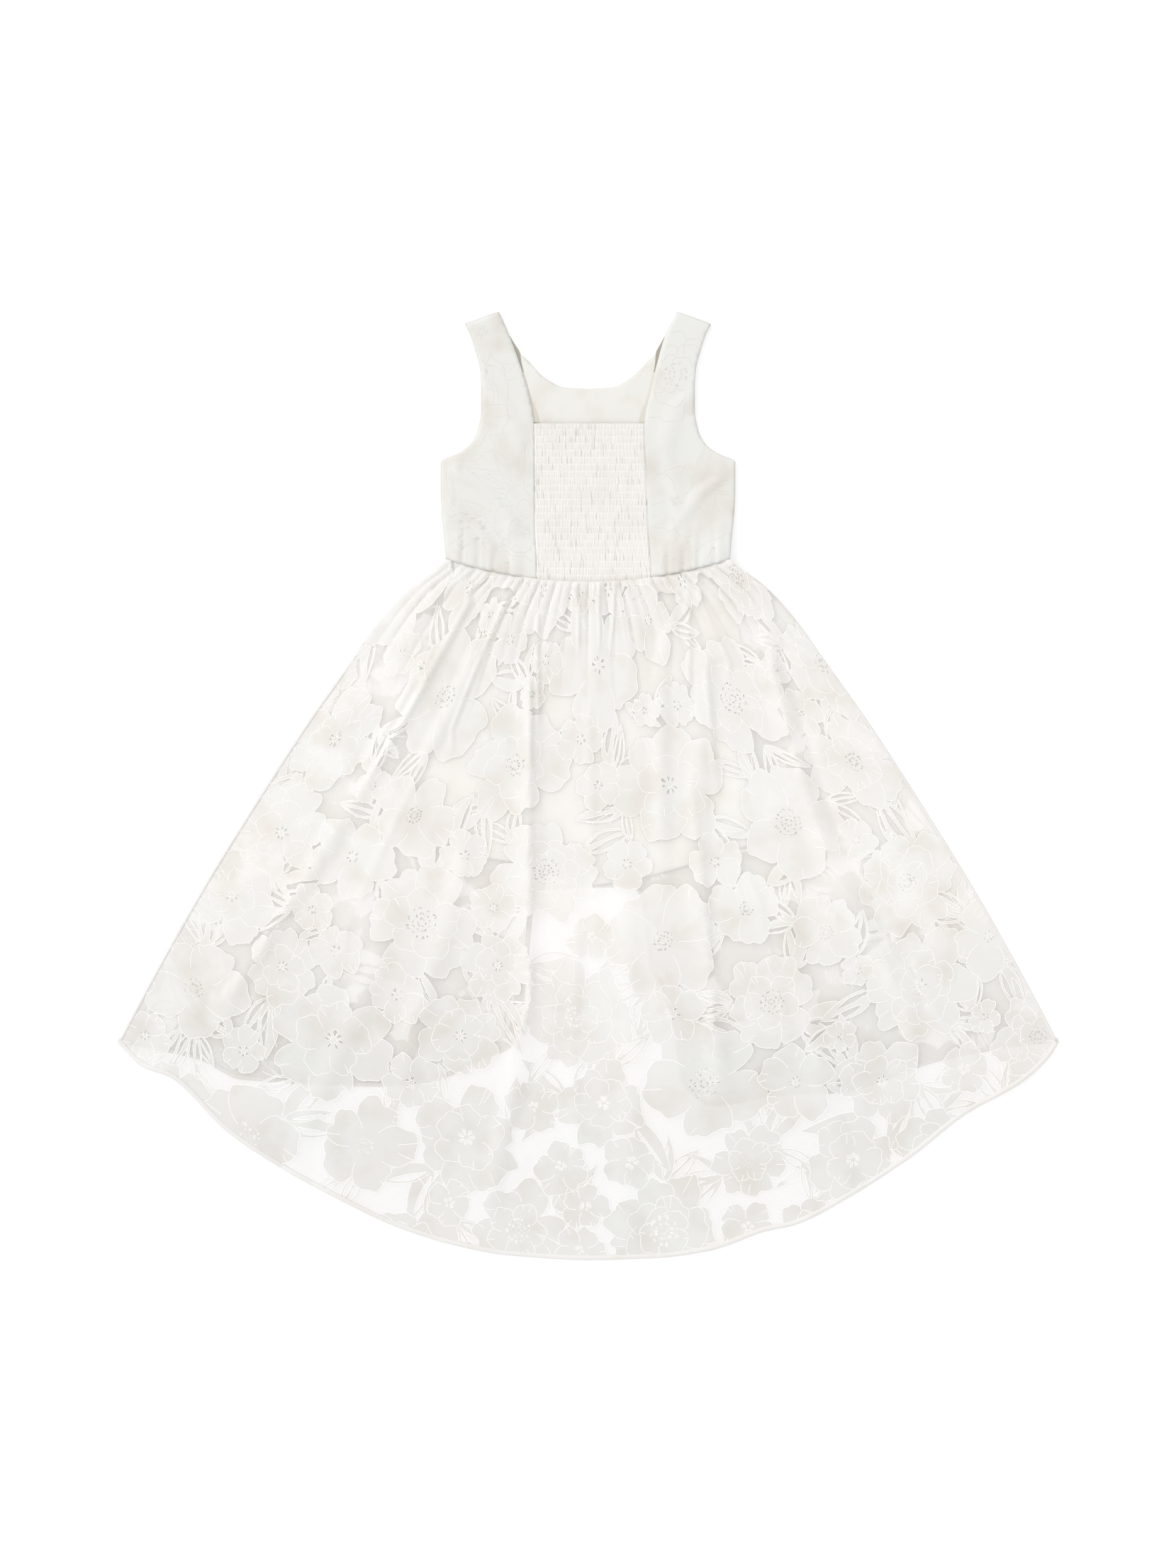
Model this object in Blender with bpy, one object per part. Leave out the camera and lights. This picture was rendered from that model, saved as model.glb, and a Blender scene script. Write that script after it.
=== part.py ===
"""A girl's sleeveless floral organza dress, laid flat on a surface with its back upwards.

X runs across the dress, Y runs up it to the shoulders and Z is up, in metres. The origin is on
the surface, under the middle of the dress. "Down" is measured from the shoulder tops, and
"below" is measured from the waist seam. Left and right are as the picture shows them.
"""
import math
from collections import namedtuple

import bmesh
import bpy

# Driving sizes
LENGTH = 0.9757
SHOULDER_Y = LENGTH / 2
WAIST_HALF = 0.146
WAIST_SIDE_DOWN = 0.2545
WAIST_MIDDLE_DOWN = 0.2775
CLOTH = 0.0012
SEAM_GAP = 0.0003
HALF_GAP = SEAM_GAP / 2

# Gathers and folds
SKIRT_GATHERS = 36
BACK_GATHER_HEIGHT = 0.0018
FRONT_GATHER_HEIGHT = 0.0014
SHORTEST_GATHER = 0.06
LONGEST_GATHER = 0.19
GOLDEN = 0.618034
FRONT_FOLD_HEIGHT = 0.0014
FOLD_END = 0.07
HEM_WAVES = 9
HEM_WAVE_HEIGHT = 0.0014
HEM_WAVE_LENGTH = 0.16

# Rows and columns of the walls
BACK_SKIRT_ROWS = 13
FRONT_SKIRT_ROWS = 9
LINING_ROWS = 6
LINING_COLUMNS = 20
BACK_PANEL_COLUMNS = 20
STRAP_COLUMNS = 3
NECK_COLUMNS = 8
ROW_CROWDING = 1.25

# Lining of the skirt
LINING_LEFT_HALF = 0.204
LINING_RIGHT_HALF = 0.185
LINING_LENGTH = 0.29
LINING_INSET = 0.0015
FRONT_LINING_SHORTER = 0.004
LINING_RIPPLE = 0.0004
LINING_RIPPLES = 7
LAYER_PLAY = 0.0004

# Smocked panel
RIBS = 20
ELASTIC_ROWS = 22
FIRST_ELASTIC_DOWN = 0.1215
ELASTIC_PITCH = 0.00715
FRILL_TOP_DOWN = 0.1150
FRILL_MIDDLE_DOWN = 0.1182
RibHeight = namedtuple("RibHeight", "crest trough")
ELASTIC = RibHeight(0.0013, 0.0012)
PUFF = RibHeight(0.0029, 0.0019)
FRILL_MIDDLE = RibHeight(0.0024, 0.0015)
FRILL_EDGE = RibHeight(0.0021, 0.0011)

# Heights of the stacked layers, each the underside of its wall
FRONT_LINING_LEVEL = CLOTH + SEAM_GAP
BACK_LEVEL = 2 * (CLOTH + SEAM_GAP)
WAIST_RISE_LENGTH = 0.055

# Outline of the skirt's sides: below the waist, half width
SKIRT_SIDE = (
    (0.000, WAIST_HALF),
    (0.008, 0.155),
    (0.022, 0.175),
    (0.037, 0.192),
    (0.066, 0.217),
    (0.103, 0.243),
    (0.168, 0.289),
    (0.256, 0.346),
    (0.344, 0.400),
    (0.431, 0.449),
    (0.498, 0.4844),
    (0.700, 0.591),
)

# Hem of the back skirt: across, down
BACK_HEM = (
    (-0.4844, 0.7523),
    (-0.4595, 0.7764),
    (-0.4303, 0.7873),
    (-0.3719, 0.8435),
    (-0.3135, 0.8829),
    (-0.2551, 0.9143),
    (-0.1967, 0.9421),
    (-0.1383, 0.9603),
    (-0.0799, 0.9713),
    (0.0000, 0.9757),
    (0.0661, 0.9742),
    (0.1245, 0.9662),
    (0.1829, 0.9464),
    (0.2121, 0.9399),
    (0.2705, 0.9100),
    (0.3289, 0.8727),
    (0.3873, 0.8267),
    (0.4457, 0.7931),
    (0.4749, 0.7669),
    (0.4844, 0.7523),
)

# Hem of the front skirt, with its arch in the middle: across, down
FRONT_HEM = (
    (-0.4844, 0.7523),
    (-0.4011, 0.7698),
    (-0.3573, 0.7902),
    (-0.2135, 0.7975),
    (-0.1624, 0.7931),
    (-0.1077, 0.7698),
    (-0.0799, 0.7574),
    (-0.0690, 0.7370),
    (-0.0639, 0.7000),
    (-0.0602, 0.6490),
    (-0.0560, 0.6060),
    (-0.0450, 0.5960),
    (0.0450, 0.5920),
    (0.0560, 0.6060),
    (0.0610, 0.6705),
    (0.0748, 0.6953),
    (0.0887, 0.7413),
    (0.0938, 0.7902),
    (0.1296, 0.8179),
    (0.1975, 0.8070),
    (0.2588, 0.8041),
    (0.3676, 0.7698),
    (0.4632, 0.7540),
    (0.4844, 0.7523),
)

# Where the back skirt comes down over the arch of the front hem: across, down
ARCH_COVER = (
    (-0.4844, 0.7560),
    (-0.3500, 0.8000),
    (-0.1500, 0.8000),
    (-0.0500, 0.7400),
    (0.0000, 0.6600),
    (0.0500, 0.7400),
    (0.1400, 0.8250),
    (0.2600, 0.8100),
    (0.4844, 0.7560),
)

# Hem of the lining: share of the half width, down
LINING_HEM = (
    (-1.00, 0.536),
    (-0.70, 0.556),
    (-0.35, 0.568),
    (0.00, 0.590),
    (0.30, 0.582),
    (0.60, 0.567),
    (1.00, 0.543),
)

# Armhole and side of the bodice: down, half width
BODICE_SIDE = (
    (0.0128, 0.1267),
    (0.0230, 0.1215),
    (0.0405, 0.1157),
    (0.0580, 0.1113),
    (0.0756, 0.1099),
    (0.1018, 0.1099),
    (0.1194, 0.1128),
    (0.1281, 0.1157),
    (0.1369, 0.1215),
    (0.1456, 0.1332),
    (0.1544, 0.1515),
    (0.1807, 0.1515),
    (0.2040, 0.1507),
    (0.2332, 0.1478),
    (WAIST_SIDE_DOWN, WAIST_HALF),
)

# Inner edge of each back panel, from the strap to the waist: down, across
LEFT_INNER_EDGE = (
    (0.0000, -0.0916),
    (0.0230, -0.0814),
    (0.0507, -0.0712),
    (0.0872, -0.0602),
    (0.1142, -0.0558),
    (0.1900, -0.0548),
    (0.2750, -0.0529),
)
RIGHT_INNER_EDGE = (
    (0.0000, 0.0916),
    (0.0252, 0.0792),
    (0.0529, 0.0712),
    (0.0821, 0.0639),
    (0.1150, 0.0580),
    (0.2040, 0.0610),
    (0.2750, 0.0653),
)

# Front neckline: across, down
NECKLINE = (
    (0.0000, 0.0792),
    (0.0237, 0.0777),
    (0.0456, 0.0668),
    (0.0624, 0.0493),
    (0.0690, 0.0434),
    (0.0814, 0.0230),
    (0.0916, 0.0000),
)

# Rows of a back panel, from the shoulder down to the last one above the waist
PanelRow = namedtuple("PanelRow", "inner_down outer_down")
PANEL_ROWS = (
    PanelRow(0.000, 0.0128),
    PanelRow(0.023, 0.0300),
    PanelRow(0.050, 0.0520),
    PanelRow(0.083, 0.0790),
    PanelRow(0.113, 0.1050),
    PanelRow(0.126, 0.1240),
    PanelRow(0.140, 0.1380),
    PanelRow(0.152, 0.1475),
    PanelRow(0.163, 0.1544),
    PanelRow(0.190, 0.1830),
    PanelRow(0.218, 0.2070),
    PanelRow(0.243, 0.2290),
    PanelRow(0.260, 0.2430),
)

# Rows of the front bodice, as places down its side
FRONT_ROWS_DOWN = (
    0.0128, 0.0405, 0.0756, 0.1018, 0.1281, 0.1456, 0.1544, 0.1807, 0.2150, WAIST_SIDE_DOWN,
)

# Largest folds of the back skirt, each a ridge through three places
Fold = namedtuple(
    "Fold", "top_across top_down mid_across mid_down low_across low_down height half_width"
)
BACK_FOLDS = (
    Fold(-0.130, 0.300, -0.254, 0.525, -0.374, 0.709, 0.0036, 0.021),
    Fold(-0.093, 0.290, -0.129, 0.386, -0.175, 0.471, 0.0024, 0.015),
    Fold(-0.129, 0.569, -0.152, 0.655, -0.185, 0.760, 0.0026, 0.020),
    Fold(-0.060, 0.401, -0.062, 0.700, -0.097, 0.892, 0.0038, 0.019),
    Fold(0.087, 0.308, 0.074, 0.396, 0.076, 0.560, 0.0030, 0.015),
    Fold(0.121, 0.380, 0.113, 0.560, 0.135, 0.760, 0.0028, 0.018),
    Fold(0.184, 0.351, 0.232, 0.518, 0.330, 0.720, 0.0038, 0.022),
    Fold(-0.205, 0.640, -0.255, 0.760, -0.300, 0.860, 0.0024, 0.021),
    Fold(0.040, 0.640, 0.045, 0.760, 0.040, 0.930, 0.0022, 0.021),
    Fold(0.205, 0.640, 0.235, 0.760, 0.262, 0.880, 0.0024, 0.021),
)
FRONT_FOLDS = (
    Fold(-0.190, 0.420, -0.280, 0.580, -0.360, 0.740, FRONT_FOLD_HEIGHT, 0.022),
    Fold(-0.110, 0.560, -0.130, 0.660, -0.150, 0.770, FRONT_FOLD_HEIGHT, 0.020),
    Fold(0.110, 0.560, 0.130, 0.660, 0.160, 0.780, FRONT_FOLD_HEIGHT, 0.020),
    Fold(0.190, 0.420, 0.280, 0.580, 0.360, 0.740, FRONT_FOLD_HEIGHT, 0.022),
)

# Finishes: colour, roughness
Finish = namedtuple("Finish", "colour roughness")
ORGANZA = Finish((0.86, 0.85, 0.82, 1.0), 0.55)
LINING = Finish((0.83, 0.81, 0.77, 1.0), 0.70)
BODICE = Finish((0.87, 0.85, 0.81, 1.0), 0.65)
SMOCKING = Finish((0.89, 0.88, 0.84, 1.0), 0.65)


def read(table, at):
    """Reads a table of two columns as a smooth curve that doesn't overshoot its points."""
    last = len(table) - 2
    part = next((i for i in range(last + 1) if at < table[i + 1][0]), last)

    def slope(i):
        (x0, y0), (x1, y1) = table[i], table[i + 1]
        return (y1 - y0) / (x1 - x0)

    def tangent(i):
        if i == 0 or i == last + 1:
            return slope(min(i, last))
        before, after = slope(i - 1), slope(i)
        if before * after <= 0:
            return 0.0
        return 2 * before * after / (before + after)

    (x0, y0), (x1, y1) = table[part], table[part + 1]
    width = x1 - x0
    t = min(max((at - x0) / width, 0.0), 1.0)
    rise0, rise1 = tangent(part) * width, tangent(part + 1) * width
    return (
        (1 + 2 * t) * (1 - t) ** 2 * y0
        + t * (1 - t) ** 2 * rise0
        + t * t * (3 - 2 * t) * y1
        + t * t * (t - 1) * rise1
    )


def mix(a, b, share):
    return a + (b - a) * share


def fade(distance, length):
    """One until distance is zero, then falling smoothly to zero at length."""
    t = min(max(distance / length, 0.0), 1.0)
    return 1 - t * t * (3 - 2 * t)


# The skirt's fan: a place is its share of the half width and its distance below the waist


def half_width(below):
    return read(SKIRT_SIDE, below)


def waist_down(share):
    """The waist seam is a shallow arc, lowest in the middle."""
    return mix(WAIST_MIDDLE_DOWN, WAIST_SIDE_DOWN, min(share * share, 1.0))


def fan(share, below):
    return share * half_width(below), waist_down(share) + below


def reach(share, hem):
    """How far below the waist a line of the fan meets a hem."""
    step = 0.004
    below = 0.1

    def past(trial):
        across, down = fan(share, trial)
        return down >= read(hem, across)

    while not past(below):
        below += step
    short, far = below - step, below
    for _ in range(20):
        middle = (short + far) / 2
        if past(middle):
            far = middle
        else:
            short = middle
    return far


def lining_half_width(share, below):
    hem_half = LINING_LEFT_HALF if share < 0 else LINING_RIGHT_HALF
    return mix(WAIST_HALF, hem_half, below / LINING_LENGTH)


# Heights of gathers and folds


def gather(column, below, height):
    """Height of a gathered wall on one of its columns: crests on the odd ones, each its length."""
    if column % 2 == 0:
        return 0.0
    unevenness = (column * GOLDEN) % 1
    length = mix(SHORTEST_GATHER, LONGEST_GATHER, unevenness)
    return height * mix(0.75, 1.0, unevenness) * fade(below, length)


def fold(crease, across, down):
    if not crease.top_down - FOLD_END < down < crease.low_down + FOLD_END:
        return 0.0
    line = (
        (crease.top_down, crease.top_across),
        (crease.mid_down, crease.mid_across),
        (crease.low_down, crease.low_across),
    )
    aside = min(abs(across - read(line, down)) / crease.half_width, 1.0)
    ends = fade(crease.top_down - down, FOLD_END) * fade(down - crease.low_down, FOLD_END)
    return crease.height * ends * (1 + math.cos(math.pi * aside)) / 2


def folds(creases, across, down):
    return max(fold(crease, across, down) for crease in creases)


def hem_wave(share, short_of_hem):
    """Soft waves along the back hem, which rest on the surface between their crests."""
    wave = (1 - math.cos(2 * math.pi * HEM_WAVES * (share + 1) / 2)) / 2
    return HEM_WAVE_HEIGHT * wave * fade(short_of_hem, HEM_WAVE_LENGTH)


# Undersides of the skirt's layers


def front_lining_level(below):
    gathers = (FRONT_GATHER_HEIGHT + LAYER_PLAY) * fade(below, LONGEST_GATHER + 0.02)
    return CLOTH + SEAM_GAP + LAYER_PLAY + gathers


def back_lining_level(below):
    return front_lining_level(below) + CLOTH + LAYER_PLAY


def back_skirt_level(share, below):
    """Top of what lies under the back skirt: both linings, the front skirt, or nothing."""
    across, down = fan(share, below)
    on_front = CLOTH + SEAM_GAP + (FRONT_FOLD_HEIGHT + LAYER_PLAY) * fade(abs(share) - 0.86, 0.12)
    lining_top = back_lining_level(below) + CLOTH + LAYER_PLAY + 2 * LINING_RIPPLE
    beside = abs(across) - lining_half_width(share, below)
    past_hem = down - read(LINING_HEM, max(-1.0, min(1.0, across / LINING_LEFT_HALF)))
    over_lining = fade(beside - 0.004, 0.05) * fade(past_hem - 0.012, 0.12)
    over_front = fade(down - read(ARCH_COVER, across) - 0.004, 0.07)
    return mix(on_front * over_front, lining_top, over_lining)


def back_bodice_level(across, down):
    """Underside of the back bodice, which rises to the gathered skirt at the waist."""
    above_waist = waist_down(across / WAIST_HALF) - down
    waist_level = back_skirt_level(0.0, 0.0)
    return mix(BACK_LEVEL, waist_level, fade(above_waist, WAIST_RISE_LENGTH))


def front_lining_bodice_level(across, down):
    above_waist = waist_down(across / WAIST_HALF) - down
    rise = fade(above_waist, WAIST_RISE_LENGTH / 2)
    return mix(FRONT_LINING_LEVEL, front_lining_level(0.0), rise)


# Making the solids


def clear_scene():
    for old in list(bpy.data.objects):
        bpy.data.objects.remove(old, do_unlink=True)


def finish_of(name, finish):
    material = bpy.data.materials.new(name)
    material.use_nodes = True
    shader = material.node_tree.nodes["Principled BSDF"]
    shader.inputs["Base Color"].default_value = finish.colour
    shader.inputs["Roughness"].default_value = finish.roughness
    shader.inputs["Metallic"].default_value = 0.0
    return material


def place(across, down, height):
    return (across, SHOULDER_Y - down, height)


def solid(name, finish, build):
    """Makes one object from a function that fills a bmesh with a closed body."""
    body = bmesh.new()
    build(body)
    bmesh.ops.triangulate(body, faces=body.faces, quad_method="SHORT_EDGE")
    bmesh.ops.recalc_face_normals(body, faces=body.faces)
    mesh = bpy.data.meshes.new(name)
    body.to_mesh(mesh)
    body.free()
    mesh.shade_smooth()
    mesh.materials.append(finish_of(name + "_cloth", finish))
    piece = bpy.data.objects.new(name, mesh)
    bpy.context.scene.collection.objects.link(piece)
    return piece


def skin(body, rows):
    """Joins rows of points of equal length by quads."""
    for upper, lower in zip(rows, rows[1:]):
        for i in range(len(upper) - 1):
            body.faces.new((upper[i], upper[i + 1], lower[i + 1], lower[i]))


def wall(name, finish, rows):
    """A cloth wall over rows of (across, down, underside)."""

    def build(body):
        under = [[body.verts.new(place(*point)) for point in row] for row in rows]
        over = [
            [body.verts.new(place(across, down, level + CLOTH)) for across, down, level in row]
            for row in rows
        ]
        skin(body, over)
        skin(body, [row[::-1] for row in under])
        skin(body, [under[0], over[0]])
        skin(body, [over[-1], under[-1]])
        skin(body, [[row[0] for row in under], [row[0] for row in over]])
        skin(body, [[row[-1] for row in over], [row[-1] for row in under]])

    return solid(name, finish, build)


def skirt_rows(hem, count, level):
    """Rows of a skirt panel, with two columns to each gather and closer rows near the waist."""
    columns = 2 * SKIRT_GATHERS
    shares = [2 * i / columns - 1 for i in range(columns + 1)]
    reaches = [reach(share, hem) for share in shares]
    rows = []
    for j in range(count + 1):
        part = (j / count) ** ROW_CROWDING
        row = []
        for column, (share, far) in enumerate(zip(shares, reaches)):
            below = mix(HALF_GAP, far, part)
            across, down = fan(share, below)
            row.append((across, down, level(column, share, below, far)))
        rows.append(row)
    return rows


def back_skirt():
    def level(column, share, below, far):
        across, down = fan(share, below)
        inner = fade(abs(share) - 0.9, 0.1)
        ridges = max(folds(BACK_FOLDS, across, down), hem_wave(share, far - below)) * inner
        gathers = gather(column, below, BACK_GATHER_HEIGHT)
        return back_skirt_level(share, below) + max(gathers, ridges)

    return wall("back_skirt", ORGANZA, skirt_rows(BACK_HEM, BACK_SKIRT_ROWS, level))


def front_skirt():
    def level(column, share, below, far):
        across, down = fan(share, below)
        inner = fade(abs(share) - 0.8, 0.1)
        ridges = folds(FRONT_FOLDS, across, down) * inner
        return max(gather(column, below, FRONT_GATHER_HEIGHT), ridges)

    return wall("front_skirt", ORGANZA, skirt_rows(FRONT_HEM, FRONT_SKIRT_ROWS, level))


def lining_skirt(name, level, inset, shorter):
    rows = []
    for j in range(LINING_ROWS + 1):
        row = []
        for i in range(LINING_COLUMNS + 1):
            share = 2 * i / LINING_COLUMNS - 1
            seam = waist_down(share * (1 - inset / WAIST_HALF))
            hem_below = read(LINING_HEM, share) - seam - shorter
            below = mix(HALF_GAP, hem_below, j / LINING_ROWS)
            across = share * (lining_half_width(share, below) - inset)
            turn = 2 * math.pi * LINING_RIPPLES * i / LINING_COLUMNS
            ripple = LINING_RIPPLE * (1 - math.cos(turn))
            row.append((across, seam + below, level(below) + ripple))
        rows.append(row)
    return wall(name, LINING, rows)


def back_panel(name, side, inner_edge):
    """A back panel with its strap: side is -1 on the left and 1 on the right."""
    columns = BACK_PANEL_COLUMNS
    rows = []
    for line in PANEL_ROWS:
        inner = read(inner_edge, line.inner_down)
        outer = side * read(BODICE_SIDE, line.outer_down)
        rows.append([
            (mix(inner, outer, i / columns), mix(line.inner_down, line.outer_down, i / columns))
            for i in range(columns + 1)
        ])
    inner = inner_edge[-1][1]
    seam = [mix(inner, side * WAIST_HALF, i / columns) for i in range(columns + 1)]
    rows.append([(across, waist_down(across / WAIST_HALF) - HALF_GAP) for across in seam])
    levels = []
    for row in rows:
        line = []
        for i, (across, down) in enumerate(row):
            above_waist = waist_down(across / WAIST_HALF) - down
            gathered = 2 < i < columns - 2
            crest = gather(i, above_waist * 3, BACK_GATHER_HEIGHT) if gathered else 0.0
            line.append((across, down, back_bodice_level(across, down) + crest))
        levels.append(line)
    return wall(name, BODICE, levels)


def front_columns(inset):
    """Columns of the front bodice's right half, from the side to the middle of the neckline.

    Each is its top's across and down, its place at the waist and how far it follows the side.
    """
    shoulder_out, shoulder_in = BODICE_SIDE[0], NECKLINE[-1]
    columns = []
    for i in range(STRAP_COLUMNS):
        share = i / STRAP_COLUMNS
        across = mix(shoulder_out[1] - inset, shoulder_in[0] - inset, share)
        down = mix(shoulder_out[0], shoulder_in[1], share) + inset
        columns.append((across, down, mix(WAIST_HALF - inset, 0.1, share), 1 - share))
    for i in range(NECK_COLUMNS + 1):
        across = shoulder_in[0] * (1 - i / NECK_COLUMNS)
        down = read(NECKLINE, across) + inset
        columns.append((across, down, 0.1 * (1 - i / NECK_COLUMNS), 0.0))
    return columns


def front_bodice(name, finish, inset, level):
    half = front_columns(inset)
    columns = [(1, *column) for column in half] + [(-1, *column) for column in half[-2::-1]]
    side_top, side_low = BODICE_SIDE[0], BODICE_SIDE[-1]
    rows = []
    for down_side in FRONT_ROWS_DOWN:
        share = (down_side - side_top[0]) / (side_low[0] - side_top[0])
        bulge = read(BODICE_SIDE, down_side) - mix(side_top[1], side_low[1], share)
        row = []
        for side, top_across, top_down, low_across, follow in columns:
            across = side * (mix(top_across, low_across, share) + follow * bulge)
            low_down = waist_down(low_across / WAIST_HALF) - HALF_GAP
            down = mix(top_down, low_down, share)
            row.append((across, down, level(across, down)))
        rows.append(row)
    return wall(name, finish, rows)


def smocked_lines():
    """Lines of the smocked panel from its frill to the last elastic row: down, rib heights."""
    lines = [(FRILL_TOP_DOWN, FRILL_EDGE), (FRILL_MIDDLE_DOWN, FRILL_MIDDLE)]
    for k in range(ELASTIC_ROWS):
        down = FIRST_ELASTIC_DOWN + k * ELASTIC_PITCH
        lines.append((down, ELASTIC))
        if k < ELASTIC_ROWS - 1:
            lines.append((down + ELASTIC_PITCH / 2, PUFF))
    return lines


def smocked_panel():
    """The shirred middle of the back: ribs raised over a plain inside, with a frill on top."""
    columns = 2 * RIBS

    def edges(down):
        left = read(LEFT_INNER_EDGE, down) + SEAM_GAP
        right = read(RIGHT_INNER_EDGE, down) - SEAM_GAP
        return left, right

    def build(body):
        over, under_left, under_right = [], [], []
        for down, heights in smocked_lines():
            left, right = edges(down)
            level = back_bodice_level(0.0, down)
            line = []
            for i in range(columns + 1):
                height = heights.crest if i % 2 else heights.trough
                line.append(body.verts.new(place(mix(left, right, i / columns), down, level + height)))
            over.append(line)
            under_left.append(body.verts.new(place(left, down, level)))
            under_right.append(body.verts.new(place(right, down, level)))
        left, right = edges(waist_down(0.0))
        seam_over, seam_under = [], []
        for i in range(columns + 1):
            across = mix(left, right, i / columns)
            down = waist_down(across / WAIST_HALF) - HALF_GAP
            level = back_bodice_level(0.0, down)
            seam_under.append(body.verts.new(place(across, down, level)))
            seam_over.append(body.verts.new(place(across, down, level + CLOTH)))
        over.append(seam_over)
        skin(body, over)
        skin(body, [over[-1], seam_under])
        left_under = under_left + [seam_under[0]]
        right_under = under_right + [seam_under[-1]]
        skin(body, [left_under, [line[0] for line in over]])
        skin(body, [[line[-1] for line in over], right_under])
        skin(body, [under_right, under_left])
        body.faces.new([under_left[-1], under_right[-1]] + seam_under[::-1])
        body.faces.new(over[0][::-1] + [under_left[0], under_right[0]])

    return solid("smocked_back_panel", SMOCKING, build)


def make_dress():
    clear_scene()
    front_skirt()
    lining_skirt("front_skirt_lining", front_lining_level, LINING_INSET, FRONT_LINING_SHORTER)
    lining_skirt("back_skirt_lining", back_lining_level, 0.0, 0.0)
    back_skirt()
    front_bodice("front_bodice", BODICE, 0.0, lambda across, down: 0.0)
    front_bodice("front_bodice_lining", LINING, 0.001, front_lining_bodice_level)
    back_panel("back_bodice_left", -1, LEFT_INNER_EDGE)
    back_panel("back_bodice_right", 1, RIGHT_INNER_EDGE)
    smocked_panel()


make_dress()
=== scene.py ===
import math
import random
from bisect import bisect_right
from collections import namedtuple

import bpy
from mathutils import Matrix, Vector
from mathutils.geometry import delaunay_2d_cdt
from mathutils.noise import noise


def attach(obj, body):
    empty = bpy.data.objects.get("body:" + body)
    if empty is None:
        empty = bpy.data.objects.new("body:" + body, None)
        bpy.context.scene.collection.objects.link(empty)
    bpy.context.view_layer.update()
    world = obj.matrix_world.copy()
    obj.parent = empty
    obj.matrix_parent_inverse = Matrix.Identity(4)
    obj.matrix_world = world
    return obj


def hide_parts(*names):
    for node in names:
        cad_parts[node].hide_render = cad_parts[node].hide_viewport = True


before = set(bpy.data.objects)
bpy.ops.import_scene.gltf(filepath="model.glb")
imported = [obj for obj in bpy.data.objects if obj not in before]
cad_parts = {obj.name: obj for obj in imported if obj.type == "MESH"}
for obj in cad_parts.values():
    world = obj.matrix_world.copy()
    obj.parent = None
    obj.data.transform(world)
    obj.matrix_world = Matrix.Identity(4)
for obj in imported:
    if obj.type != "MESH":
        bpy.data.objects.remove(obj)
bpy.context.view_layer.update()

# The photograph's frame
PHOTO_HEIGHT = 2212
METRES_PER_PIXEL = 0.00073
SHOULDER_PIXEL_Y = 440.5
LENS_MM = 85.0
SENSOR_MM = 36.0

# Driving sizes of the dress, as in its solids
LENGTH = 0.9757
SHOULDER_Y = LENGTH / 2
WAIST_HALF = 0.146
WAIST_SIDE_DOWN = 0.2545
WAIST_MIDDLE_DOWN = 0.2775
CLOTH = 0.0012
MID_WALL = CLOTH / 2
SEAM_GAP = 0.0003
HALF_GAP = SEAM_GAP / 2

# Gathers and folds
SKIRT_GATHERS = 36
SMALL_PUFFS = (0.6, 1.1)
SMALL_SHARE = 0.45
LARGE_PUFFS = (0.7, 1.1)
LARGE_SHARE = 0.75
LARGE_LENGTHS = (0.5, 1.1)
PLEAT_LEANS = (0.5, 1.9)
BACK_GATHER_HEIGHT = 0.0030
FRONT_GATHER_HEIGHT = 0.0014
SHORTEST_GATHER = 0.06
LONGEST_GATHER = 0.19
GOLDEN = 0.618034
FRONT_FOLD_HEIGHT = 0.0014
FOLD_END = 0.07
HEM_WAVES = 9
HEM_WAVE_HEIGHT = 0.0014
HEM_WAVE_LENGTH = 0.16
GATHER_FULLNESS = 0.13
GATHER_REACH = 0.30

# Lining of the skirt
LINING_LEFT_HALF = 0.204
LINING_RIGHT_HALF = 0.185
LINING_LENGTH = 0.29
LINING_INSET = 0.0015
FRONT_LINING_SHORTER = 0.004
LINING_RIPPLE = 0.0004
LINING_RIPPLES = 7
LAYER_PLAY = 0.0004
LINING_SHELL = 0.0006
TUCK_HEIGHT = 0.0003
TUCKS = 180
STITCH_LINE = 0.972
STITCH_STEPS = 300

# Smocked panel
RIBS = 77
ELASTIC_ROWS = 22
FIRST_ELASTIC_DOWN = 0.1215
ELASTIC_PITCH = 0.00715
FRILL_TOP_DOWN = 0.1150

# Heights of the stacked layers, each the underside of its wall
FRONT_LINING_LEVEL = CLOTH + SEAM_GAP
BACK_LEVEL = 2 * (CLOTH + SEAM_GAP)
WAIST_RISE_LENGTH = 0.055

FULL_TURN = 2 * math.pi


class Curve:
    """A smooth curve through a table's points that doesn't overshoot them."""

    def __init__(self, points):
        self.at = [point[0] for point in points]
        self.value = [point[1] for point in points]
        slopes = [
            (y1 - y0) / (x1 - x0)
            for x0, x1, y0, y1 in zip(self.at, self.at[1:], self.value, self.value[1:])
        ]
        inner = [
            0.0 if before * after <= 0 else 2 * before * after / (before + after)
            for before, after in zip(slopes, slopes[1:])
        ]
        self.tangent = [slopes[0], *inner, slopes[-1]]

    def __call__(self, at):
        part = min(max(bisect_right(self.at, at) - 1, 0), len(self.at) - 2)
        width = self.at[part + 1] - self.at[part]
        t = min(max((at - self.at[part]) / width, 0.0), 1.0)
        return (
            (1 + 2 * t) * (1 - t) ** 2 * self.value[part]
            + t * (1 - t) ** 2 * self.tangent[part] * width
            + t * t * (3 - 2 * t) * self.value[part + 1]
            + t * t * (t - 1) * self.tangent[part + 1] * width
        )


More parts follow.
